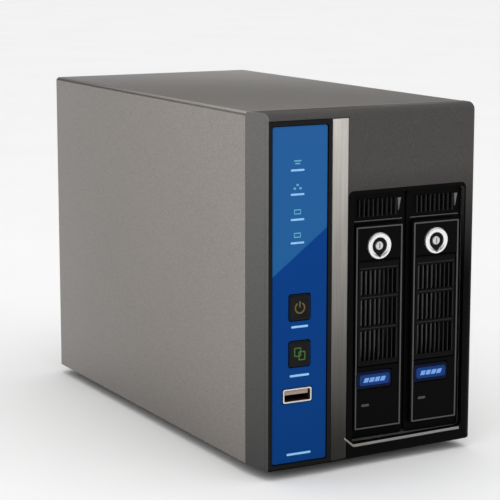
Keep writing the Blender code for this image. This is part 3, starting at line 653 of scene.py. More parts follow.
def trim_span():
    """The trim strip's span, cut back on the right to make room for the bay's black rim."""
    strip = Span("trim_strip")
    strip.x = (strip.x[0], strip.x[1] - STRIP_CUT)
    return strip


def make_bay_rim(s, strip, bay_x, bay_z):
    """Flat black rim round the bay, lying on the sloping face of the bezel."""

    def on_face(outline, low, high):
        verts, faces = prism("Y", outline, low, high)
        return [(x, y + bezel_front(s, strip, x), z) for x, y, z in verts], faces

    outer = rounded((strip.x[1] + 0.15, bay_x[1] + 0.35), (bay_z[0], bay_z[1] + 1.5), 2.3)
    make("bay_rim", TRAY_BLACK, [on_face(outer, -0.15, 0.3)],
         [(CUT, on_face(rounded(bay_x, bay_z, 2.0), -2.0, 2.0))], bevel=0.06)


def make_bezel():
    s, strip, panel = Span("front_bezel"), trim_span(), Span("panel_frame")
    cage = Span("cage_roof")
    trays = Span("tray_face_1"), Span("tray_face_2")
    wall, crown = 2.3, 3.2
    stations = [(s.z[0], 0.5, 0.5), (s.z[0] + 0.2, 0.15, 0.15), (s.z[0] + 0.6, 0.0, 0.0)]
    for i in range(9):
        angle = math.radians(90 * i / 8)
        lift = 1 - math.cos(angle)
        stations.append((s.z[1] - crown + crown * math.sin(angle), crown * lift, 0.8 * lift))
    shell = loft("Z", [(z, bezel_plan(s, strip, back, side)) for z, back, side in stations])

    rear = s.y[1] + 2.0
    hollow = [(s.x[0] + 2.4, rear), (s.x[0] + 2.4, -98.0), (s.x[0] + 4.3, s.y[0] + 2.8),
              (strip.x[0] + 0.6, s.y[0] + 3.1), (strip.x[1] + 1.3, s.y[0] + 4.1),
              (s.x[1] - 2.9, s.y[0] + 6.9), (s.x[1] - 2.3, s.y[0] + 8.7), (s.x[1] - 2.3, rear)]
    floor = panel.y[1] + 0.3
    recess = [(s.x[0] - 8.0, s.y[0] - 3.0), (s.x[0] - 8.0, floor), (strip.x[0] - 0.1, floor),
              (strip.x[0] - 0.1, strip.y[1] + 0.3), (strip.x[1] + 0.1, strip.y[1] + 0.3),
              (strip.x[1] + 0.1, s.y[0] - 3.0)]
    through = (s.y[0] - 2.0, floor + 3.0)
    openings = [box(grow(part.x, gap), through, grow(part.z, gap))
                for part, gap in ((Span("power_button"), 0.3 - FLANGE), (Span("copy_button"), 0.3 - FLANGE),
                                  (Span("front_usb_shell"), 0.3))]
    guide = Span("light_guide")
    openings += [box(around(guide.cx, 1.7), through, around(z, 1.7)) for z in INDICATOR_Z]
    bay_x = (trays[0].x[0] - 0.65, trays[1].x[1] + 0.65)
    bay_z = grow(trays[0].z, 0.4)
    bay = slab(bay_x, bay_z, 2.0, s.y[0] - 3.0, cage.y[0] + 3.0)
    make("front_bezel_shell", BEZEL, [shell],
         [(CUT, prism("Z", hollow, s.z[0] + wall, s.z[1] - wall)),
          (CUT, prism("Z", recess, panel.z[0] - 0.3, panel.z[1] + 0.3)), (CUT, *openings), (CUT, bay)],
         ["front_bezel"], bevel=0.35, segments=3, angle=40)
    make_bay_rim(s, strip, bay_x, bay_z)
    lip = [(panel.x[0] - 0.1, panel.y[1] + 0.2), (panel.x[0] - 0.05, s.y[0] + 1.8),
           (panel.x[0] + 0.1, s.y[0] + 1.0), (panel.x[0] + 0.45, s.y[0] + 0.4),
           (panel.x[0] + LIP_WIDTH, s.y[0] + 0.2), (panel.x[0] + LIP_WIDTH, panel.y[1] + 0.2)]
    make("bezel_corner_lip", BEZEL, [prism("Z", lip, panel.z[0] - 0.2, panel.z[1] + 0.2)])

    # A bright half-round bead runs along the bay's lower edge and turns up into the trim strip.
    bead, top = [], bay_z[0] - 0.15
    for x, lift in ((strip.x[1] - 1.2, 4.0), (bay_x[0] + 0.6, 0.2), (bay_x[0] + 1.6, 0.0),
                    (bay_x[1] - 1.0, 0.0)):
        face = bezel_front(s, strip, x)
        bead.append((x, [(face + v, top - 0.7 + lift + u) for u, v in arc(0.0, 0.3, 0.7, 180, 360, 8)]))
    make("bay_sill", SILL, [loft("X", bead)])


def icon_outlines(number, x, z):
    """Small lit signs, their glow painted: two bars, three small blocks, and a flat frame of thin lines for
    each drive.
    """
    if number == 1:
        return [rounded(around(x, 1.7), around(z + 0.6, 0.26), 0.22),
                rounded(around(x, 1.1), around(z - 0.5, 0.26), 0.22)]
    if number == 2:
        return [rounded(around(x + dx, 0.55), around(z + dz, 0.42), 0.2)
                for dx, dz in ((0.0, 0.7), (-1.3, -0.7), (1.3, -0.7))]
    return [rounded(around(x, 1.6), around(z + dz, 0.2), 0.18) for dz in (0.8, -0.8)] + [
        rounded(around(x + dx, 0.18), around(z, 0.5), 0.14) for dx in (-1.42, 1.42)]


def make_indicator_panel():
    frame_box, lens, strip = Span("panel_frame"), Span("panel_lens"), trim_span()
    left, right = frame_box.x[0] + LIP_WIDTH + 0.1, frame_box.x[1]
    front, back = frame_box.y
    plan = [(left, back)] + arc(left + 0.3, front + 0.3, 0.3, 180, 270, 5) + [(right, front), (right, back)]
    opening = inset_slab(lens, -0.3, 1.0, front - 2.0, back + 2.0)
    make("panel_surround", GLOSS_BLACK, [prism("Z", plan, *frame_box.z)], [(CUT, opening)], ["panel_frame"],
         bevel=0.22, segments=3)

    holes = [inset_slab(Span(node), inset, radius, lens.y[0] - 1, lens.y[1] + 1)
             for node, inset, radius in (("power_button", FLANGE - 0.25, 1.1),
                                         ("copy_button", FLANGE - 0.25, 1.1),
                                         ("front_usb_shell", -0.3, 0.7))]
    make("indicator_window", LENS, [slab(lens.x, lens.z, 0.9, *lens.y)], [(CUT, *holes)], ["panel_lens"],
         bevel=0.12)

    low, high = strip.y
    bow = [(strip.x[0], high), (strip.x[0], low + 0.3)]
    for i in range(7):
        share = i / 6
        bow.append((strip.x[0] + 0.3 + (strip.x[1] - strip.x[0] - 0.6) * share,
                    low + share + 0.1 * (2 * share - 1) ** 2))
    bow += [(strip.x[1], low + 1.3), (strip.x[1], high)]
    make("trim_strip_bar", SILVER, [prism("Z", bow, *strip.z)], stands_for=["trim_strip"], bevel=0.2,
         segments=3)

    # Printed marks and lit icons, all with a faint painted glow, lie a hair in front of the window.
    ink = (lens.y[0] - 0.05, lens.y[0] + 0.15)
    x = Span("light_guide").cx
    for number, z in enumerate(INDICATOR_Z, 1):
        lit = [prism("Y", outline, *ink) for outline in icon_outlines(number, x, z + 0.8)]
        make(f"indicator_{number}", CYAN_GLOW, lit)
        dash = slab(around(x, 3.1), around(z - 2.3, 0.4), 0.36, *ink)
        make(f"indicator_dash_{number}", GLOWING_PALE_INK, [dash])
    for node, half, drop in (("power_button", 3.9, 7.9), ("copy_button", 4.5, 8.9)):
        b = Span(node)
        dash = slab(around(b.cx, half), around(b.cz - drop, 0.45), 0.42, *ink)
        make(f"{node}_dash", GLOWING_PALE_INK, [dash])
    foot_dash = slab(around(x + 1.0, 5.6), around(lens.z[0] + 3.4, 0.45), 0.42, *ink)
    make("panel_foot_dash", GLOWING_PALE_INK, [foot_dash])


def key_cap(name, marks=()):
    """Square button with a gently dished face, its hidden flange, its stem and amber marks."""
    b = Span(name)
    half_x, half_z = (b.x[1] - b.x[0]) / 2 - FLANGE, (b.z[1] - b.z[0]) / 2 - FLANGE
    front = b.y[0]
    stations = []
    for back, inset in ((0.18, 1.3), (0.0, 0.75), (0.05, 0.45), (0.25, 0.15), (0.6, 0.0), (4.0, 0.0)):
        stations.append((front + back, rounded(around(b.cx, half_x - inset), around(b.cz, half_z - inset),
                                               1.0 - inset * 0.3)))
    flange = box(b.x, (front + 3.8, front + 5.0), b.z)
    stem = rod("Y", (b.cx, b.cz), 1.5, front + 4.5, b.y[1], 20)
    make(f"{name}_cap", GLOSS_BLACK, [loft("Y", stations)], [(ADD, flange), (ADD, stem)], [name], body=name)
    face = front + 0.18
    for number, outline in enumerate(marks, 1):
        make(f"{name}_mark_{number}", GOLD, [prism("Y", outline, face - 0.05, face + 0.2)], body=name)


def make_buttons():
    p, c = Span("power_button"), Span("copy_button")
    key_cap("power_button", [arc_band((p.cx, p.cz - 0.2), 2.1, 0.6, 125, 415, 24),
                             rounded(around(p.cx, 0.3), (p.cz - 0.1, p.cz + 2.6), 0.28)])
    key_cap("copy_button")
    face = c.y[0] + 0.18
    for number, (dx, dz) in enumerate(((-1.0, 0.8), (1.0, -0.8)), 1):
        outer = rounded(around(c.cx + dx, 1.6), around(c.cz + dz, 1.9), 0.5)
        inner = rounded(around(c.cx + dx, 1.1), around(c.cz + dz, 1.4), 0.25)
        make(f"copy_button_sheet_{number}", GREEN, [prism("Y", outer, face - 0.04 * number, face + 0.2)],
             [(CUT, prism("Y", inner, face - 1.0, face + 1.0))], body="copy_button")


CONTACTS = 4                     # of a USB socket, and their pitch
CONTACT_PITCH = 2.4


def usb_tongue(name, look, node):
    t = Span(node)
    make(f"{name}_tongue", look, [box(t.x, t.y, t.z)], stands_for=[node], bevel=0.15)
    return t


def make_front_usb():
    """Steel socket with a dark lining sheet as painted shade inside; its tongue, in a shaded ivory, lies
    flat, with the contacts underneath.
    """
    s = Span("front_usb_shell")
    mouth, inner, wall = s.y[0], s.y[0] + 10.2, 0.6
    make("front_usb_shell", PORT_STEEL, [slab(s.x, s.z, 0.7, *s.y)],
         [(CUT, inset_slab(s, wall, 0.45, mouth - 1.0, inner))], ["front_usb_shell"], bevel=0.1)
    make("front_usb_liner", USB_SHADE_LINER, [inset_slab(s, wall + 0.03, 0.4, mouth + 0.7, inner - 0.1)],
         [(CUT, inset_slab(s, wall + 0.25, 0.3, mouth - 1.0, inner - 0.5))])
    t = usb_tongue("front_usb", SHADED_IVORY, "front_usb_tongue")
    for i in range(CONTACTS):
        x = t.cx + CONTACT_PITCH * (i - 1.5)
        make(f"front_usb_contact_{i + 1}", GILT,
             [box(around(x, 0.5), (t.y[0] + 0.6, t.y[0] + 7.0), (t.z[0] - 0.12, t.z[0] + 0.2))], bevel=0.04)


# ---- trays

COMB_PITCH = 2.2                 # from one grille bar to the next
FRAME_HALF = 11.6                # half widths of a tray's raised frame, of its outline and of the lever
OUTLINE_HALF = 10.8
LEVER_HALF = 9.9
PIN_REACH = 0.9                  # the lever's pins stand this far out at each end
LEDGE_Z = 102.4                  # ridge between the raised frame and the short grille over it
LOCK_Z = 92.0


def make_tray_face(number):
    f, lever, tab, lock = [Span(f"{node}_{number}") for node in
                           ("tray_face", "tray_lever", "release_tab", "lock_cylinder")]
    x, body = f.cx, f"tray_{number}"
    front, back = f.y
    plate_front = back - 1.8
    low, high = 14.3, 101.0
    raised = loft("Y", [(front, rounded(around(x, FRAME_HALF - 0.3), (low + 0.3, high - 0.3), 0.9)),
                        (front + 0.3, rounded(around(x, FRAME_HALF), (low, high), 1.2)),
                        (plate_front + 0.3, rounded(around(x, FRAME_HALF), (low, high), 1.2))])
    through = (front - 5.0, back + 5.0)
    lever_bay = box(around(x, LEVER_HALF + 0.3), (front - 5.0, plate_front - 0.1),
                    (lever.z[0] - 0.3, lever.z[1] + 0.3))
    pins = box(around(x, LEVER_HALF + PIN_REACH + 0.3), (front - 5.0, plate_front - 0.6),
               around(lever.z[1] - 1.0, 0.7))
    comb = [slab(around(x + COMB_PITCH * (i - 3.5), 0.6), (104.4, 111.3), 0.4, *through, steps=2)
            for i in range(8)]
    window = box(around(x, 8.9), through, (44.0, 82.5))
    tab_hole = inset_slab(tab, -0.3, 0.7, *through)
    seat = rod("Y", (lock.cx, LOCK_Z), 5.9, front - 5.0, plate_front, 48)
    bore = rod("Y", (lock.cx, LOCK_Z), 3.3, *through, 32)
    make(f"tray_front_{number}", TRAY_BLACK, [slab(f.x, f.z, 1.8, plate_front, back)],
         [(ADD, raised), (CUT, lever_bay), (CUT, pins), (CUT, *comb), (CUT, window), (CUT, tab_hole),
          (CUT, seat), (CUT, bore)], [f"tray_face_{number}"], bevel=0.18, body=body)

    # Fine raised lines frame the grille and the smooth field under it; with the ledge and the grille bars
    # they are lighter copies of the tray plastic, as painted highlights.
    proud = (front - 0.3, front + 0.2)
    left, right = [box(around(x + side * OUTLINE_HALF, 0.28), proud, (low + 0.8, high - 0.8))
                   for side in (-1, 1)]
    rails = [box(around(x, OUTLINE_HALF + 0.1), proud, around(z, 0.25)) for z in (low + 1.0, high - 1.0)]
    make(f"tray_outline_{number}", RAIL_HIGHLIGHT, [left], [(ADD, right), (ADD, *rails)], bevel=0.08, body=body)
    ribs = [box(around(x + COMB_PITCH * (i - 4), 0.22), (plate_front - 0.9, plate_front + 0.2),
                (104.2, 111.4)) for i in range(9)]
    make(f"tray_comb_{number}", RIB_HIGHLIGHT, ribs, bevel=0.1, body=body)
    make(f"tray_ledge_{number}", RAIL_HIGHLIGHT,
         [box(around(x, 12.0), (plate_front - 0.5, plate_front + 0.2), around(LEDGE_Z, 0.2))], bevel=0.08,
         body=body)
    # painted glint: a light wedge at the comb's right end
    wedge = [(x + 10.1, 105.6), (x + 11.3, 111.2), (x + 9.7, 111.2)]
    make(f"tray_painted_glint_{number}", PAINTED_GLINT, [prism("Y", wedge, plate_front - 0.8, plate_front + 0.2)],
         bevel=0.1, body=body)
    make(f"tray_lamp_{number}", PALE_GREY,
         [slab(around(x - 6.0, 1.9), around(25.0, 0.55), 0.5, front - 0.12, front + 0.5)], bevel=0.06,
         body=body)


GRILLE_ROWS = ((44.0, 56.8), (58.6, 69.8), (71.6, 82.0))     # slots of the lever, low and high


def make_lever(number):
    s = Span(f"tray_lever_{number}")
    x, half = s.cx, LEVER_HALF
    low, high = s.z
    axis = (s.cy, high - 1.0)
    outline = [(axis[0] - 0.55, low), (axis[0] + 0.7, low), (axis[0] + 1.0, low + 0.4)]
    outline += arc(axis[0], axis[1], 1.0, 0, 180, 10) + [(axis[0] - 1.0, low + 1.6),
                                                         (axis[0] - 0.85, low + 0.6)]
    slots = [slab(around(x + COMB_PITCH * (i - 3.5), 0.8), row, 0.35, s.y[0] - 5.0, s.y[1] + 5.0, steps=2)
             for row in GRILLE_ROWS for i in range(8)]
    pins = [rod("X", axis, 0.4, *sorted((x + side * (half - 0.3), x + side * (half + PIN_REACH))), 16)
            for side in (-1, 1)]
    make(f"lever_plate_{number}", LEVER_BLACK, [prism("X", outline, *around(x, half))],
         [(ADD, *pins), (CUT, *slots)], [f"tray_lever_{number}"], bevel=0.14, body=f"lever_{number}")
    face = axis[0] - 0.85
    # painted highlight: the lever's grille bars are a lighter copy of the plastic
    ribs = [box(around(x + COMB_PITCH * (i - 4), 0.2), (face - 0.25, face + 0.3), grow(row, -0.2))
            for i in range(9) for row in GRILLE_ROWS]
    ribs += [box(around(x, 9.1), (face - 0.3, face + 0.3), around(z, 0.2)) for z in (57.7, 70.7, 82.9)]
    make(f"lever_ribs_{number}", RIB_HIGHLIGHT, ribs, bevel=0.08, body=f"lever_{number}")


def make_tab(number):
    s = Span(f"release_tab_{number}")
    stations = [(s.y[0] + back, inset, 1.3 - inset * 0.5)
                for back, inset in ((0.12, 1.1), (0.0, 0.7), (0.06, 0.35), (0.25, 0.1), (0.55, 0.0))]
    stations.append((s.y[1], 0.0, 1.3))
    make(f"tab_cap_{number}", TAB_BLUE, [tapered(s, stations)], stands_for=[f"release_tab_{number}"],
         body=f"tab_{number}")
    make(f"tab_field_{number}", TAB_FIELD,
         [slab(around(s.cx + 0.6, 7.3), around(s.cz, 2.3), 1.1, s.y[0] + 0.03, s.y[0] + 0.4)], bevel=0.06,
         body=f"tab_{number}")
    # painted glow on the tab's bars
    bars, pitch, lean = 4, 2.7, 0.4
    for i in range(bars):
        middle = s.cx + 0.6 + (i - (bars - 1) / 2) * pitch
        outline = [(middle - 1.1 - lean, s.cz - 0.95), (middle + 1.1 - lean, s.cz - 0.95),
                   (middle + 1.1 + lean, s.cz + 0.95), (middle - 1.1 + lean, s.cz + 0.95)]
        make(f"tab_bar_{number}_{i + 1}", TAB_GLOW, [prism("Y", outline, s.y[0] - 0.02, s.y[0] + 0.3)],
             bevel=0.05, body=f"tab_{number}")


def make_lock(number):
    s = Span(f"lock_cylinder_{number}")
    body, centre, front = f"lock_{number}", (s.cx, LOCK_Z), s.y[0]
    ring = [(front + 2.7, 5.6), (front + 0.55, 5.6), (front + 0.2, 5.45), (front + 0.03, 5.15),
            (front, 4.8), (front + 0.05, 4.4), (front + 0.3, 3.9)]
    drop = arc(*centre, 3.55, -55, 235, 24) + [(centre[0], centre[1] - 5.0)]
    shaft = rod("Y", centre, 3.0, front + 2.5, -97.2, 24)
    cam = box(around(s.cx, 1.8), (-98.4, -97.0), (84.0, 93.0))
    make(f"lock_ring_{number}", CHROME, [lathe("Y", centre, ring, 64)],
         [(CUT, prism("Y", drop, front - 2.0, front + 1.9)), (ADD, shaft), (ADD, cam)],
         [f"lock_cylinder_{number}"], bevel=0.07, body=body)
    cup = arc(*centre, 3.4, -57, 237, 24) + [(centre[0], centre[1] - 4.75)]
    make(f"lock_well_{number}", MATTE_BLACK, [prism("Y", cup, front + 1.0, front + 2.0)],
         [(CUT, rod("Y", centre, 1.9, front, front + 3.0, 32))], bevel=0.06, body=body)
    core = [(front + 2.0, 1.8), (front + 0.75, 1.8), (front + 0.5, 1.7), (front + 0.35, 1.45)]
    keyway = box(around(s.cx, 0.26), (front - 1.0, front + 1.6), around(LOCK_Z, 1.1))
    make(f"lock_core_{number}", LOCK_CORE, [lathe("Y", centre, core, 40)], [(CUT, keyway)], bevel=0.05,
         body=body)


def make_sled(number):
    """Folded steel tray: side wall with windows and four drive screws, floor and roof flanges."""
    s = Span(f"tray_sled_{number}")
    body = f"tray_{number}"
    low, high = s.z
    wall = (s.x[0], s.x[0] + 1.0)
    rail_end = 30.0
    windows = [prism("X", rounded(around(y, 9.5), (26.0, 98.0), 3.0), s.x[0] - 2.0, s.x[0] + 3.0)
               for y in (-70.0, -43.0, -16.0, 11.0, 38.0)]
    slots = [prism("Z", rounded(around(s.cx, 3.0), around(y, 9.0), 2.9), low - 2.0, high + 2.0)
             for y in (-80.0, -30.0, 15.0)]
    rails = [box(s.x, (s.y[0], rail_end), z) for z in ((low, low + 0.6), (high - 0.6, high))]
    tabs = [box(s.x, (s.y[0], s.y[0] + 1.0), z) for z in ((low, 30.0), (103.0, high))]
    make(f"sled_shell_{number}", ZINC, [box(wall, s.y, s.z)],
         [(ADD, *rails), (ADD, *tabs), (CUT, *windows), (CUT, *slots)], [f"tray_sled_{number}"],
         bevel=0.12, body=body)
    head = [(s.x[0] + 0.2, 2.4), (s.x[0] - 0.15, 2.4), (s.x[0] - 0.32, 1.9)]
    for i, (y, z) in enumerate([(y, z) for y in (-56.5, 24.5) for z in (20.5, 103.5)], 1):
        make(f"sled_screw_{number}_{i}", SCREW, [lathe("X", (y, z), head, 24)],
             [(CUT, prism("X", star(y, z, 1.0, 0.62), s.x[0] - 1.0, s.x[0] - 0.05))], bevel=0.03, body=body)


def star(cu, cv, outer, inner, points=6):
    """Outline of a six-lobed screw recess."""
    outline = []
    for i in range(points * 2):
        angle = math.radians(180 * i / points)
        radius = outer if i % 2 == 0 else inner
        outline.append((cu + radius * math.cos(angle), cv + radius * math.sin(angle)))
    return outline


def make_drive(number):
    """3.5 inch drive standing on edge: cast body, stamped lid with label, board and the motor's end."""
    s, b = Span(f"drive_{number}"), Span(f"drive_board_{number}")
    body = f"tray_{number}"
    left, right = s.x
    front, back = s.y
    low, high = s.z
    notch = box((left - 1.0, left + 1.2), (back - 6.0, back + 1.0), (low + 6.0, high - 6.0))
    holes = [rod("Z", (left + 6.3, y), 1.5, z - 2.0, z + 2.0, 20)
             for y in (front + 16.0, front + 58.0, front + 101.0) for z in (low, high)]
    make(f"drive_body_{number}", DRIVE_CAST, [prism("X", rounded(s.y, s.z, 3.0), left + 0.8, right)],
         [(CUT, notch), (CUT, *holes)], [f"drive_{number}"], bevel=0.4, segments=3, body=body)
    inner_y, inner_z = (front + 3.0, back - 7.5), (low + 3.0, high - 3.0)
    lid = loft("X", [(left + 0.85, rounded(inner_y, inner_z, 6.0, 6)),
                     (left + 0.35, rounded(inner_y, inner_z, 6.0, 6)),
                     (left + 0.1, rounded(grow(inner_y, -0.5), grow(inner_z, -0.5), 5.6, 6))])
    make(f"drive_lid_{number}", DRIVE_LID, [lid], body=body)
    label = prism("X", rounded((front + 24.0, back - 30.0), (low + 16.0, high - 16.0), 2.0), left,
                  left + 0.2)
    make(f"drive_label_{number}", DRIVE_LABEL, [label], body=body)
    bars = [box((left - 0.05, left + 0.1), (back - 36.0 - length, back - 36.0),
                around(high - 24.0 - 8.0 * i, 1.2))
            for i, length in enumerate((52.0, 40.0, 46.0, 30.0, 34.0))]
    make(f"drive_label_bars_{number}", INK, bars, body=body)
    seats = [(y, z) for y, margin in ((front + 8.0, 8.0), (s.cy, 6.5), (back - 14.0, 8.0))
             for z in (low + margin, high - margin)]
    head = [(left + 0.3, 1.9), (left + 0.02, 1.9), (left - 0.05, 1.6)]
    for i, (y, z) in enumerate(seats, 1):
        make(f"drive_screw_{number}_{i}", SCREW, [lathe("X", (y, z), head, 24)],
             [(CUT, prism("X", star(y, z, 0.9, 0.55), left - 1.0, left + 0.15))], body=body)
    middle, face = b.cz, b.x[1]
    spindle, hub = (0.0, middle), 16.0
    make(f"drive_circuit_{number}", BOARD, [prism("X", rounded(b.y, b.z, 2.0), *b.x)],
         [(CUT, rod("X", spindle, hub, b.x[0] - 2.0, face + 2.0, 48))], [f"drive_board_{number}"],
         bevel=0.1, body=body)
    motor = [(right - 0.2, hub - 0.8), (right + 0.9, hub - 0.8), (right + 1.2, hub - 1.2),
             (right + 1.2, 5.0), (right + 1.7, 4.4)]
    make(f"drive_motor_{number}", DRIVE_LID, [lathe("X", spindle, motor, 48)], body=body)
    chips = [((-34.0, -20.0), (middle - 26.0, middle - 12.0), 0.9),
             ((24.0, 34.0), (middle - 8.0, middle + 8.0), 0.8),
             ((-38.0, -28.0), (middle + 22.0, middle + 32.0), 0.8),
             ((28.0, 42.0), (middle + 20.0, middle + 28.0), 0.9)]
    for i, (y, z, height) in enumerate(chips, 1):
        make(f"drive_chip_{number}_{i}", CHIP, [box((face - 0.3, face + height * 0.25), y, z)], bevel=0.08,
             body=body)
    pads = [box((face - 0.1, face + 0.03), around(b.y[1] - 8.0, 1.6), around(b.z[0] + 12.0 + 3.0 * i, 0.7))
            for i in range(12)]
    make(f"drive_pads_{number}", GILT, pads, body=body)


# ---- rear panel

GRILLE_RADII = (27.0, 21.6, 15.9, 10.6)
GRILLE_SLOT = 2.3
GRILLE_SPOKE = 3.0
THEFT_SLOT_X = (40.1, 47.1)      # where a cable lock goes in
THEFT_SLOT_Z = 14.0


def quarter_slot(centre, radius, width, spoke, start):
    """Slot over a quarter turn, shortened at both ends to leave the spokes."""
    gap = math.degrees(math.asin((spoke / 2 + width * 0.35) / radius))
    return arc_band(centre, radius, width, start + gap, start + 90 - gap, 16)


def make_rear_panel():
    s, fan = Span("rear_panel"), Span("fan_frame")
    front, back = s.y
    through = (front - 2.0, back + 3.0)
    centre = (fan.cx, fan.cz)
    grille = [prism("Y", quarter_slot(centre, radius, GRILLE_SLOT, GRILLE_SPOKE, start), *through)
              for radius in GRILLE_RADII for start in (0, 90, 180, 270)]
    edge = (fan.x[1] - fan.x[0]) / 2 - 0.2
    outline = []
    for side in (-1, 1):
        for low, high in ((-15.8, -3.8), (3.8, 15.8)):
            across = [around(middle + side * edge, 0.6) for middle in centre]
            along = [(middle + low, middle + high) for middle in centre]
            outline.append(slab(across[0], along[1], 0.55, *through))
            outline.append(slab(along[0], across[1], 0.55, *through))
    screws = [Span(f"fan_screw_{i}") for i in range(1, 5)]
    corners = []
    for screw in screws:
        facing = math.degrees(math.atan2(centre[1] - screw.cz, centre[0] - screw.cx))
        corners.append(prism("Y", arc_band((screw.cx, screw.cz), 6.9, 1.4, facing - 36, facing + 36, 10),
                             *through))
    ports = [inset_slab(Span(node), -gap, 0.6, *through)
             for node, gap in (("lan_usb_shell", 0.85), ("esata_socket_1", 0.45), ("esata_socket_2", 0.45),
                               ("terminal_block", 0.45), ("dc_inlet", 0.45))]
    blank, reset = Span("slot_blank"), Span("reset_button")
    ports.append(box(around(blank.cx, 2.8), through, around(blank.cz, 11.0)))
    holes = [rod("Y", (reset.cx, reset.cz), 1.1, *through, 24),
             slab(THEFT_SLOT_X, around(THEFT_SLOT_Z, 1.5), 0.6, *through)]
    holes += [rod("Y", (screw.cx, screw.cz), 2.0, *through, 24) for screw in screws]
    plain = [Span(f"{place}_screw_{i}") for place in ("cover", "top_plate") for i in (1, 2)]
    holes += [rod("Y", (screw.cx, screw.cz), 1.6, *through, 20) for screw in plain]
    make("rear_sheet", REAR_PAINT, [slab(s.x, s.z, 0.8, front, back)],
         [(CUT, *grille), (CUT, *outline), (CUT, *corners), (CUT, *ports), (CUT, *holes)], ["rear_panel"],
         bevel=0.22, segments=3, angle=50)

    # A pressed bead follows the fan's outline, cut off at its corners.
    reach, cut, proud = edge + 1.9, 13.5, 0.3
    outer, inner = [[(centre[0] + a * half, centre[1] + b * half) for a, b in octagon(corner / half)]
                    for half, corner in ((reach + 0.55, cut + 0.22), (reach - 0.55, cut - 0.22))]
    make("rear_bead", REAR_PAINT, [prism("Y", outer, back - 0.1, back + proud)],
         [(CUT, prism("Y", inner, back - 1.0, back + proud + 1.0))], bevel=0.28, segments=3)

    # Painted highlights: light marks beside the slots, at the sides and along the cut corners.
    bright = [slab(around(centre[0] + side * edge, 0.7), around(centre[1], 2.7), 0.6, back - 0.2,
                   back + 0.12) for side in (-1, 1)]
    diagonal, half = 0.7071, 1.7
    for side_x in (-1, 1):
        for side_z in (-1, 1):
            middle = (centre[0] + side_x * (edge - 6.2), centre[1] + side_z * (edge - 6.2))
            lean = (side_x * diagonal, -side_z * diagonal)
            across = (side_x * diagonal, side_z * diagonal)
            for along in (-6.6, 6.6):
                ends = [(middle[0] + lean[0] * (along + a * half) + across[0] * b * 0.5,
                         middle[1] + lean[1] * (along + a * half) + across[1] * b * 0.5)
                        for a, b in ((-1, -1), (1, -1), (1, 1), (-1, 1))]
                bright.append(prism("Y", ends, back - 0.2, back + 0.12))
    make("rear_edge_highlights", EDGE_HIGHLIGHT, bright, bevel=0.1)

    make("lock_slot_cup", MATTE_BLACK,
         [slab(grow(THEFT_SLOT_X, 0.2), around(THEFT_SLOT_Z, 1.7), 0.6, front - 3.0, front - 0.3)],
         [(CUT, box(grow(THEFT_SLOT_X, -0.2), (front - 2.4, front + 1.0), around(THEFT_SLOT_Z, 1.3)))])


def octagon(share):
    """Corner directions of a square of half-side 1 with its corners cut back by share."""
    c = 1 - share
    return [(1, -c), (1, c), (c, 1), (-c, 1), (-1, c), (-1, -c), (-c, -1), (c, -1)]


def make_top_plate():
    s = Span("rear_top_plate")
    screws = [Span(f"top_plate_screw_{i}") for i in (1, 2)]
    plate = tapered(s, [(s.y[0], 0.0, 1.6), (s.y[1] - 0.3, 0.0, 1.6), (s.y[1] - 0.05, 0.2, 1.4),
                        (s.y[1], 0.5, 1.1)], steps=5)
    make("top_plate", TOP_BLACK, [plate],
         [(CUT, *[rod("Y", (screw.cx, screw.cz), 1.3, s.y[0] - 1, s.y[1] + 1, 20) for screw in screws])],
         ["rear_top_plate"])
    for i in (1, 2):
        make_screw(f"top_screw_{i}", BLACK_SCREW, f"top_plate_screw_{i}", 15.0 + 40.0 * i,
                   seat=s.y[1] + 0.3)


# ---- rear sockets

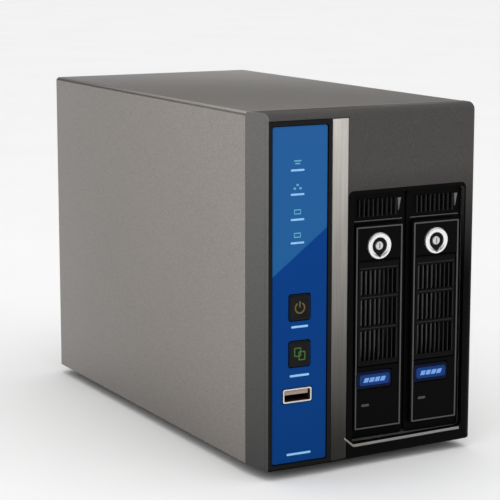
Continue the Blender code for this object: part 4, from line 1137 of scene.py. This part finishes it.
def make_network_block():
    s = Span("lan_usb_shell")
    rear = s.y[1]
    depth = (rear - 13.0, rear + 2.0)
    jack_x, jack_z = (-27.4, -18.6), around(s.cz, 5.9)
    latch_x, lamp_x, lamp_rise = (-18.8, -16.4), (-18.1, -15.6), 6.2
    usb = [Span(f"rear_usb_tongue_{i}") for i in (1, 2)]
    usb_holes = [slab(around(t.cx, 2.55), around(t.cz, 6.3), 0.4, *depth) for t in usb]
    jack = slab(jack_x, jack_z, 0.4, *depth)
    latch = slab(latch_x, around(s.cz, 3.0), 0.3, *depth)
    lamps = [slab(lamp_x, around(s.cz + side * lamp_rise, 1.2), 0.3, rear - 1.0, rear + 2.0)
             for side in (-1, 1)]
    make("network_block", PORT_STEEL, [slab(s.x, s.z, 0.7, *s.y)],
         [(CUT, *usb_holes), (CUT, jack), (CUT, latch), (CUT, *lamps)], ["lan_usb_shell"], bevel=0.15)
    wall = 0.5
    lining = slab(grow(jack_x, -0.05), grow(jack_z, -0.05), 0.35, rear - 12.9, rear - 0.5)
    hollow = slab(grow(jack_x, -wall), grow(jack_z, -wall), 0.25, rear - 12.0, rear + 1.0)
    notch = box((jack_x[1] - 1.0, jack_x[1] + 1.0), (rear - 12.0, rear + 1.0), around(s.cz, 2.9))
    make("network_lining", GLOSS_BLACK, [lining], [(CUT, hollow), (CUT, notch)], bevel=0.06)
    for i in range(8):
        z = s.cz + (i - 3.5) * 1.02
        bent = [(rear - inward, rounded((low, low + 0.4), around(z, 0.22), 0.1, 2)) for inward, low in
                ((12.2, jack_x[0] + 0.6), (8.0, jack_x[0] + 1.4), (2.5, jack_x[0] + 0.5))]
        make(f"network_pin_{i + 1}", GILT, [loft("Y", bent)])
    for number, (side, look) in enumerate(((-1, GREEN_LAMP), (1, AMBER_LAMP)), 1):
        make(f"network_lamp_{number}", look,
             [slab(grow(lamp_x, -0.1), around(s.cz + side * lamp_rise, 1.1), 0.25, rear - 0.9,
                   rear - 0.15)], bevel=0.06)
    for number, t in enumerate(usb, 1):
        usb_tongue(f"rear_usb_{number}", GLOSS_BLACK, f"rear_usb_tongue_{number}")
        for i in range(CONTACTS):
            z = t.cz + CONTACT_PITCH * (i - 1.5)
            make(f"rear_usb_{number}_contact_{i + 1}", GILT,
                 [box((t.x[1] - 0.2, t.x[1] + 0.12), (t.y[1] - 7.0, t.y[1] - 0.6), around(z, 0.5))],
                 bevel=0.04)
        back_wall = slab(around(t.cx, 2.5), around(t.cz, 6.2), 0.3, rear - 12.9, rear - 12.2)
        make(f"rear_usb_back_{number}", GLOSS_BLACK, [back_wall])


def make_esata():
    for number in (1, 2):
        s = Span(f"esata_socket_{number}")
        rear = s.y[1]
        cavity = slab(around(s.cx, 1.6), around(s.cz, 6.2), 0.5, rear - 5.0, rear + 2.0)
        depth = (rear - 6.0, rear - 0.7)
        tongue = box(around(s.cx - 0.5, 0.5), depth, around(s.cz, 5.2))
        hook = box((s.cx - 1.0, s.cx + 0.7), depth, around(s.cz + 4.8, 0.4))
        shell = tapered(s, [(s.y[0], 0.0, 1.6), (rear - 0.25, 0.0, 1.6), (rear, 0.25, 1.4)])
        make(f"esata_shell_{number}", ESATA_RED, [shell], [(CUT, cavity)], [f"esata_socket_{number}"],
             bevel=0.1)
        # painted highlight on the rim and painted shade on the tongue
        rim = inset_slab(s, 0.3, 1.35, rear - 0.3, rear + 0.05)
        inner = inset_slab(s, 0.75, 1.0, rear - 1.0, rear + 1.0)
        make(f"esata_rim_{number}", ESATA_RIM_HIGHLIGHT, [rim], [(CUT, inner)], bevel=0.06)
        make(f"esata_tongue_{number}", ESATA_SHADE, [tongue], [(ADD, hook)], bevel=0.08)
        pins = [box((s.cx - 0.1, s.cx + 0.05), (rear - 4.8, rear - 1.5), around(s.cz + (i - 3) * 1.3, 0.3))
                for i in range(7)]
        make(f"esata_pins_{number}", GILT, pins)


def make_terminal():
    s = Span("terminal_block")
    rear = s.y[1]
    ways = [s.z[0] + 2.4 + 3.8 * i for i in range(5)]
    entry_x, screw_x = s.cx - 2.1, s.cx + 2.1
    entries = [slab(around(entry_x, 1.35), around(z, 1.25), 0.25, rear - 5.4, rear + 1.0)
               for z in ways]
    wells = [rod("Y", (screw_x, z), 1.4, rear - 0.8, rear + 1.0, 24) for z in ways]
    grooves = [box((s.x[0] - 1.0, s.x[1] + 1.0), (rear - 0.4, rear + 1.0), around((a + b) / 2, 0.14))
               for a, b in zip(ways, ways[1:])]
    make("terminal_body", TERMINAL, [slab(s.x, s.z, 0.4, *s.y)],
         [(CUT, *entries), (CUT, *wells), (CUT, *grooves)], ["terminal_block"], bevel=0.12)
    for i, z in enumerate(ways, 1):
        make(f"terminal_screw_{i}", DARK_STEEL,
             [lathe("Y", (screw_x, z), [(rear - 1.2, 1.2), (rear - 0.45, 1.2), (rear - 0.35, 1.05)], 24)],
             [(CUT, box(around(screw_x, 1.3), (rear - 0.65, rear), around(z, 0.2)))])
        make(f"terminal_clamp_{i}", MATTE_BLACK,
             [box(around(entry_x, 1.2), (rear - 5.5, rear - 3.6), around(z, 1.1))], bevel=0.08)


def make_power_inlet():
    s = Span("dc_inlet")
    centre, rear = (s.cx, s.cz), s.y[1]
    body = tapered(s, [(s.y[0], 0.0, 0.5), (rear - 0.3, 0.0, 0.5), (rear, 0.25, 0.4)])
    funnel = loft("Y", [(rear - 9.9, circle(*centre, 3.2, 40)), (rear - 0.5, circle(*centre, 3.2, 40)),
                        (rear + 0.2, circle(*centre, 3.75, 40))])
    make("inlet_housing", MATTE_BLACK, [body], [(CUT, funnel)], ["dc_inlet"], bevel=0.12)
    pin = [(rear - 9.9, 1.0), (rear - 1.5, 1.0), (rear - 1.15, 0.85), (rear - 0.95, 0.5)]
    make("inlet_pin", SCREW, [lathe("Y", centre, pin, 24)])
    ring = lathe("Y", centre, [(rear - 9.8, 3.15), (rear - 4.2, 3.15)], 40)
    make("inlet_sleeve", DARK_STEEL, [ring], [(CUT, rod("Y", centre, 2.85, rear - 9.0, rear, 40))])


def make_small_rear_parts():
    blank, reset = Span("slot_blank"), Span("reset_button")
    plate = slab(around(blank.cx, 3.5), around(blank.cz, 12.5), 0.9, blank.y[1] - 0.9, blank.y[1])
    ribs = [slab(around(blank.cx, 2.2), around(blank.cz + (i - 3.5) * 2.7, 0.55), 0.4, blank.y[1] - 0.45,
                 blank.y[1] + 1.0, steps=2) for i in range(8)]
    plug = box(around(blank.cx, 2.5), (blank.y[0], blank.y[1] - 0.5), around(blank.cz, 10.7))
    make("blank_cover", MATTE_BLACK, [plate], [(ADD, plug), (CUT, *ribs)], ["slot_blank"], bevel=0.12)
    cap = [(reset.y[1] - 2.6, 1.5), (reset.y[1] - 0.3, 1.5), (reset.y[1] - 0.08, 1.35), (reset.y[1], 1.0)]
    make("reset_cap", MATTE_BLACK, [lathe("Y", (reset.cx, reset.cz), cap, 24)],
         [(ADD, rod("Y", (reset.cx, reset.cz), 0.8, reset.y[0], reset.y[1] - 2.0, 16))], ["reset_button"],
         body="reset_button")
    for i in (1, 2):
        make_screw(f"case_screw_{i}", BLACK_SCREW, f"cover_screw_{i}", 35.0 * i)


# ---- fan

def fan_blade(centre, hub, tip, middle, angle):
    """Swept, twisted blade, thinner at its edges, from inside the hub to near the bore."""
    turn = math.radians(angle)
    rings = []
    spans, chords = 7, 6
    for i in range(spans + 1):
        share = i / spans
        radius = hub + (tip - hub) * share
        pitch = math.radians(52 - 22 * share)
        half = 5.2 + 3.2 * share
        sweep = 2.6 * share * share
        upper, lower = [], []
        for j in range(chords + 1):
            u = -1 + 2 * j / chords
            camber = 0.9 * (1 - u * u)
            for side, row in ((1, upper), (-1, lower)):
                lift = camber + side * 0.55 * (1 - 0.45 * u * u)
                row.append((sweep + u * half * math.cos(pitch) - lift * math.sin(pitch),
                            middle + u * half * math.sin(pitch) + lift * math.cos(pitch)))
        rings.append((radius, upper + lower[::-1]))
    verts, faces = loft("X", rings)
    turned = []
    for radius, tangent, y in verts:
        turned.append((centre[0] + radius * math.cos(turn) - tangent * math.sin(turn), y,
                       centre[1] + radius * math.sin(turn) + tangent * math.cos(turn)))
    return turned, faces


def make_fan():
    s, rotor = Span("fan_frame"), Span("fan_rotor")
    centre = (s.cx, s.cz)
    front, back = s.y
    screws = [Span(f"fan_screw_{i}") for i in range(1, 5)]
    bores = [rod("Y", (screw.cx, screw.cz), 2.1, front - 2, back + 2, 24) for screw in screws]
    mouth = loft("Y", [(front - 1, circle(*centre, 30.4, 72)), (front + 2.5, circle(*centre, 29.4, 72)),
                       (back - 3.0, circle(*centre, 29.4, 72)), (back + 1, circle(*centre, 31.2, 72))])
    waists = []
    for side in (-1, 1):
        waists.append(box((s.x[0] - 2, s.x[1] + 2), (front + 5, back - 5),
                          sorted((s.cz + side * (s.z[1] - s.cz - 1.4), s.cz + side * 40.0))))
        waists.append(box(sorted((s.cx + side * (s.x[1] - s.cx - 1.4), s.cx + side * 40.0)),
                          (front + 5, back - 5), (s.z[0] - 2, s.z[1] + 2)))
    arms = []
    for angle in (0, 90, 180, 270):
        along = (math.cos(math.radians(angle)), math.sin(math.radians(angle)))
        across = (-along[1], along[0])
        ends = [(centre[0] + along[0] * r + across[0] * w, centre[1] + along[1] * r + across[1] * w)
                for r, w in ((9.0, -1.5), (30.3, -1.5), (30.3, 1.5), (9.0, 1.5))]
        arms.append(prism("Y", ends, front, front + 2.4))
    make("fan_housing", FAN_PLASTIC, [slab(s.x, s.z, 3.0, front, back)],
         [(CUT, mouth), (CUT, *bores), (CUT, *waists[:2]), (CUT, *waists[2:]), (ADD, *arms[:2]),
          (ADD, *arms[2:]), (ADD, rod("Y", centre, 13.0, front, front + 2.4, 48))], ["fan_frame"],
         bevel=0.25)

    middle = rotor.cy
    hub_front, hub_back = 84.2, rotor.y[1]
    hub = [(hub_front, 12.4), (hub_back - 1.5, 12.4), (hub_back - 0.6, 12.15), (hub_back - 0.1, 11.4),
           (hub_back, 10.6)]
    blades = [(ADD, fan_blade(centre, 10.0, 27.0, middle, 360 * i / 7)) for i in range(7)]
    make("fan_hub", FAN_PLASTIC, [lathe("Y", centre, hub, 64)], blades, ["fan_rotor"], bevel=0.1,
         body="fan")
    for i in range(4):
        band = arc_band(centre, 10.9, 1.5, 90 * i + 14, 90 * i + 68, 14)
        make(f"fan_ring_{i + 1}", FAN_RING, [prism("Y", band, hub_back - 0.4, hub_back + 0.15)], bevel=0.08,
             body="fan")
    disc = [(hub_back - 0.1, 8.6), (hub_back + 0.1, 8.6)]
    make("fan_label", FAN_LABEL, [lathe("Y", centre, disc, 48)], body="fan")
    for i in range(1, 5):
        make_screw(f"fan_bolt_{i}", DARK_STEEL, f"fan_screw_{i}", 25.0 * i)


# ---- inside

def make_backplane_parts():
    """Small components on the backplane, seen when a tray is out."""
    plane = Span("backplane")
    for number in (1, 2):
        c = Span(f"sata_connector_{number}")
        for i in range(5):
            z = c.z[1] + 6.0 + 7.0 * i
            spot = box((c.cx - 9.5, c.cx - 7.3), (plane.y[0] - 1.0, plane.y[0] + 0.1), around(z, 1.6))
            make(f"backplane_part_{number}_{i + 1}", CHIP, [spot], bevel=0.1)
        can = lathe("Y", (c.cx - 8.5, c.z[0] + 6.0), [(plane.y[0] + 0.1, 3.0), (plane.y[0] - 5.0, 3.0),
                                                     (plane.y[0] - 5.5, 2.6)], 28)
        make(f"backplane_can_{number}", ALUMINIUM, [can])


# ---- build

make_cover()
make_feet()
make_bezel()
make_indicator_panel()
make_buttons()
make_front_usb()
for tray in (1, 2):
    make_tray_face(tray)
    make_lever(tray)
    make_tab(tray)
    make_lock(tray)
    make_sled(tray)
    make_drive(tray)
make_rear_panel()
make_top_plate()
make_network_block()
make_esata()
make_terminal()
make_power_inlet()
make_small_rear_parts()
make_fan()
make_backplane_parts()
for look, names in ((REAR_PAINT, ["base_pan"]),
                    (ZINC, ["cage_side_left", "cage_side_right", "cage_roof", "cage_floor"]),
                    (BOARD, ["mainboard", "front_board", "backplane"]),
                    (MATTE_BLACK, ["sata_connector_1", "sata_connector_2"]),
                    (ALUMINIUM, ["heatsink"]),
                    (CLEAR, ["light_guide"])):
    dress(look, *[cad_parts[node] for node in names])


# ---- floor, light and camera

def add_floor():
    n = Nodes("floor")
    n.link(n.blend(n.ranged(n.noise(6.0, 2.0), 0.0, 1.0), (0.90, 0.90, 0.90), (0.92, 0.92, 0.92)),
           n.surface.inputs["Base Color"])
    n.link(n.ranged(n.noise(40.0), 0.7, 0.8), n.surface.inputs["Roughness"])
    floor = raw_object("floor", [box((-6000.0, 6000.0), (-6000.0, 6000.0), (-20.0, 0.0))])
    floor.data.materials.append(n.material)


def add_light(name, place, aim, width, height, power, mirrored=True):
    data = bpy.data.lights.new(name, "AREA")
    data.shape = "RECTANGLE"
    data.size, data.size_y = width, height
    data.energy = power
    light = bpy.data.objects.new(name, data)
    light.location = place
    light.rotation_euler = (Vector(aim) - Vector(place)).to_track_quat("-Z", "Y").to_euler()
    light.visible_glossy = mirrored
    bpy.context.scene.collection.objects.link(light)


def add_world(backdrop, low, overhead):
    """White studio dome: a pale backdrop just above the floor, dim over that and bright overhead."""
    world = bpy.data.worlds.new("studio")
    world.use_nodes = True
    tree = world.node_tree
    direction = tree.nodes.new("ShaderNodeTexCoord")
    split = tree.nodes.new("ShaderNodeSeparateXYZ")
    tree.links.new(direction.outputs["Generated"], split.inputs["Vector"])
    total = tree.nodes.new("ShaderNodeMath")
    for socket, limits in enumerate(((0.10, 0.16, backdrop - low, 0.0), (0.3, 1.0, low, overhead))):
        ramp = tree.nodes.new("ShaderNodeMapRange")
        tree.links.new(split.outputs["Z"], ramp.inputs["Value"])
        set_range(ramp, *limits)
        tree.links.new(ramp.outputs["Result"], total.inputs[socket])
    background = tree.nodes["Background"]
    background.inputs["Color"].default_value = (1.0, 1.0, 1.0, 1.0)
    tree.links.new(total.outputs["Value"], background.inputs["Strength"])
    bpy.context.scene.world = world


CAMERA_AZIMUTH = -28.1           # degrees round from the front, towards the left side
CAMERA_PITCH = 9.9
CAMERA_DISTANCE = 0.84           # to the middle of the case
LENS_LENGTH = 131.0              # on a 36 mm wide sensor

add_floor()
add_world(0.90, 0.12, 1.75)
centre = (CAD_BOX[0] + CAD_BOX[1]) / 2
add_light("key", (-1.2, -1.0, 0.55), centre, 1.0, 0.8, 5.0)
add_light("front_fill", (0.6, -1.4, 0.5), centre, 1.2, 0.8, 4.0, mirrored=False)
bpy.context.scene.view_settings.view_transform = "Standard"

camera = bpy.data.objects.new("camera", bpy.data.cameras.new("camera"))
azimuth, pitch = math.radians(CAMERA_AZIMUTH), math.radians(CAMERA_PITCH)
camera.location = centre + CAMERA_DISTANCE * Vector((math.sin(azimuth) * math.cos(pitch),
                                                     -math.cos(azimuth) * math.cos(pitch), math.sin(pitch)))
camera.rotation_euler = (centre - camera.location).to_track_quat("-Z", "Y").to_euler()
camera.data.lens = LENS_LENGTH
camera.data.clip_start = 0.01
bpy.context.scene.collection.objects.link(camera)
bpy.context.scene.camera = camera
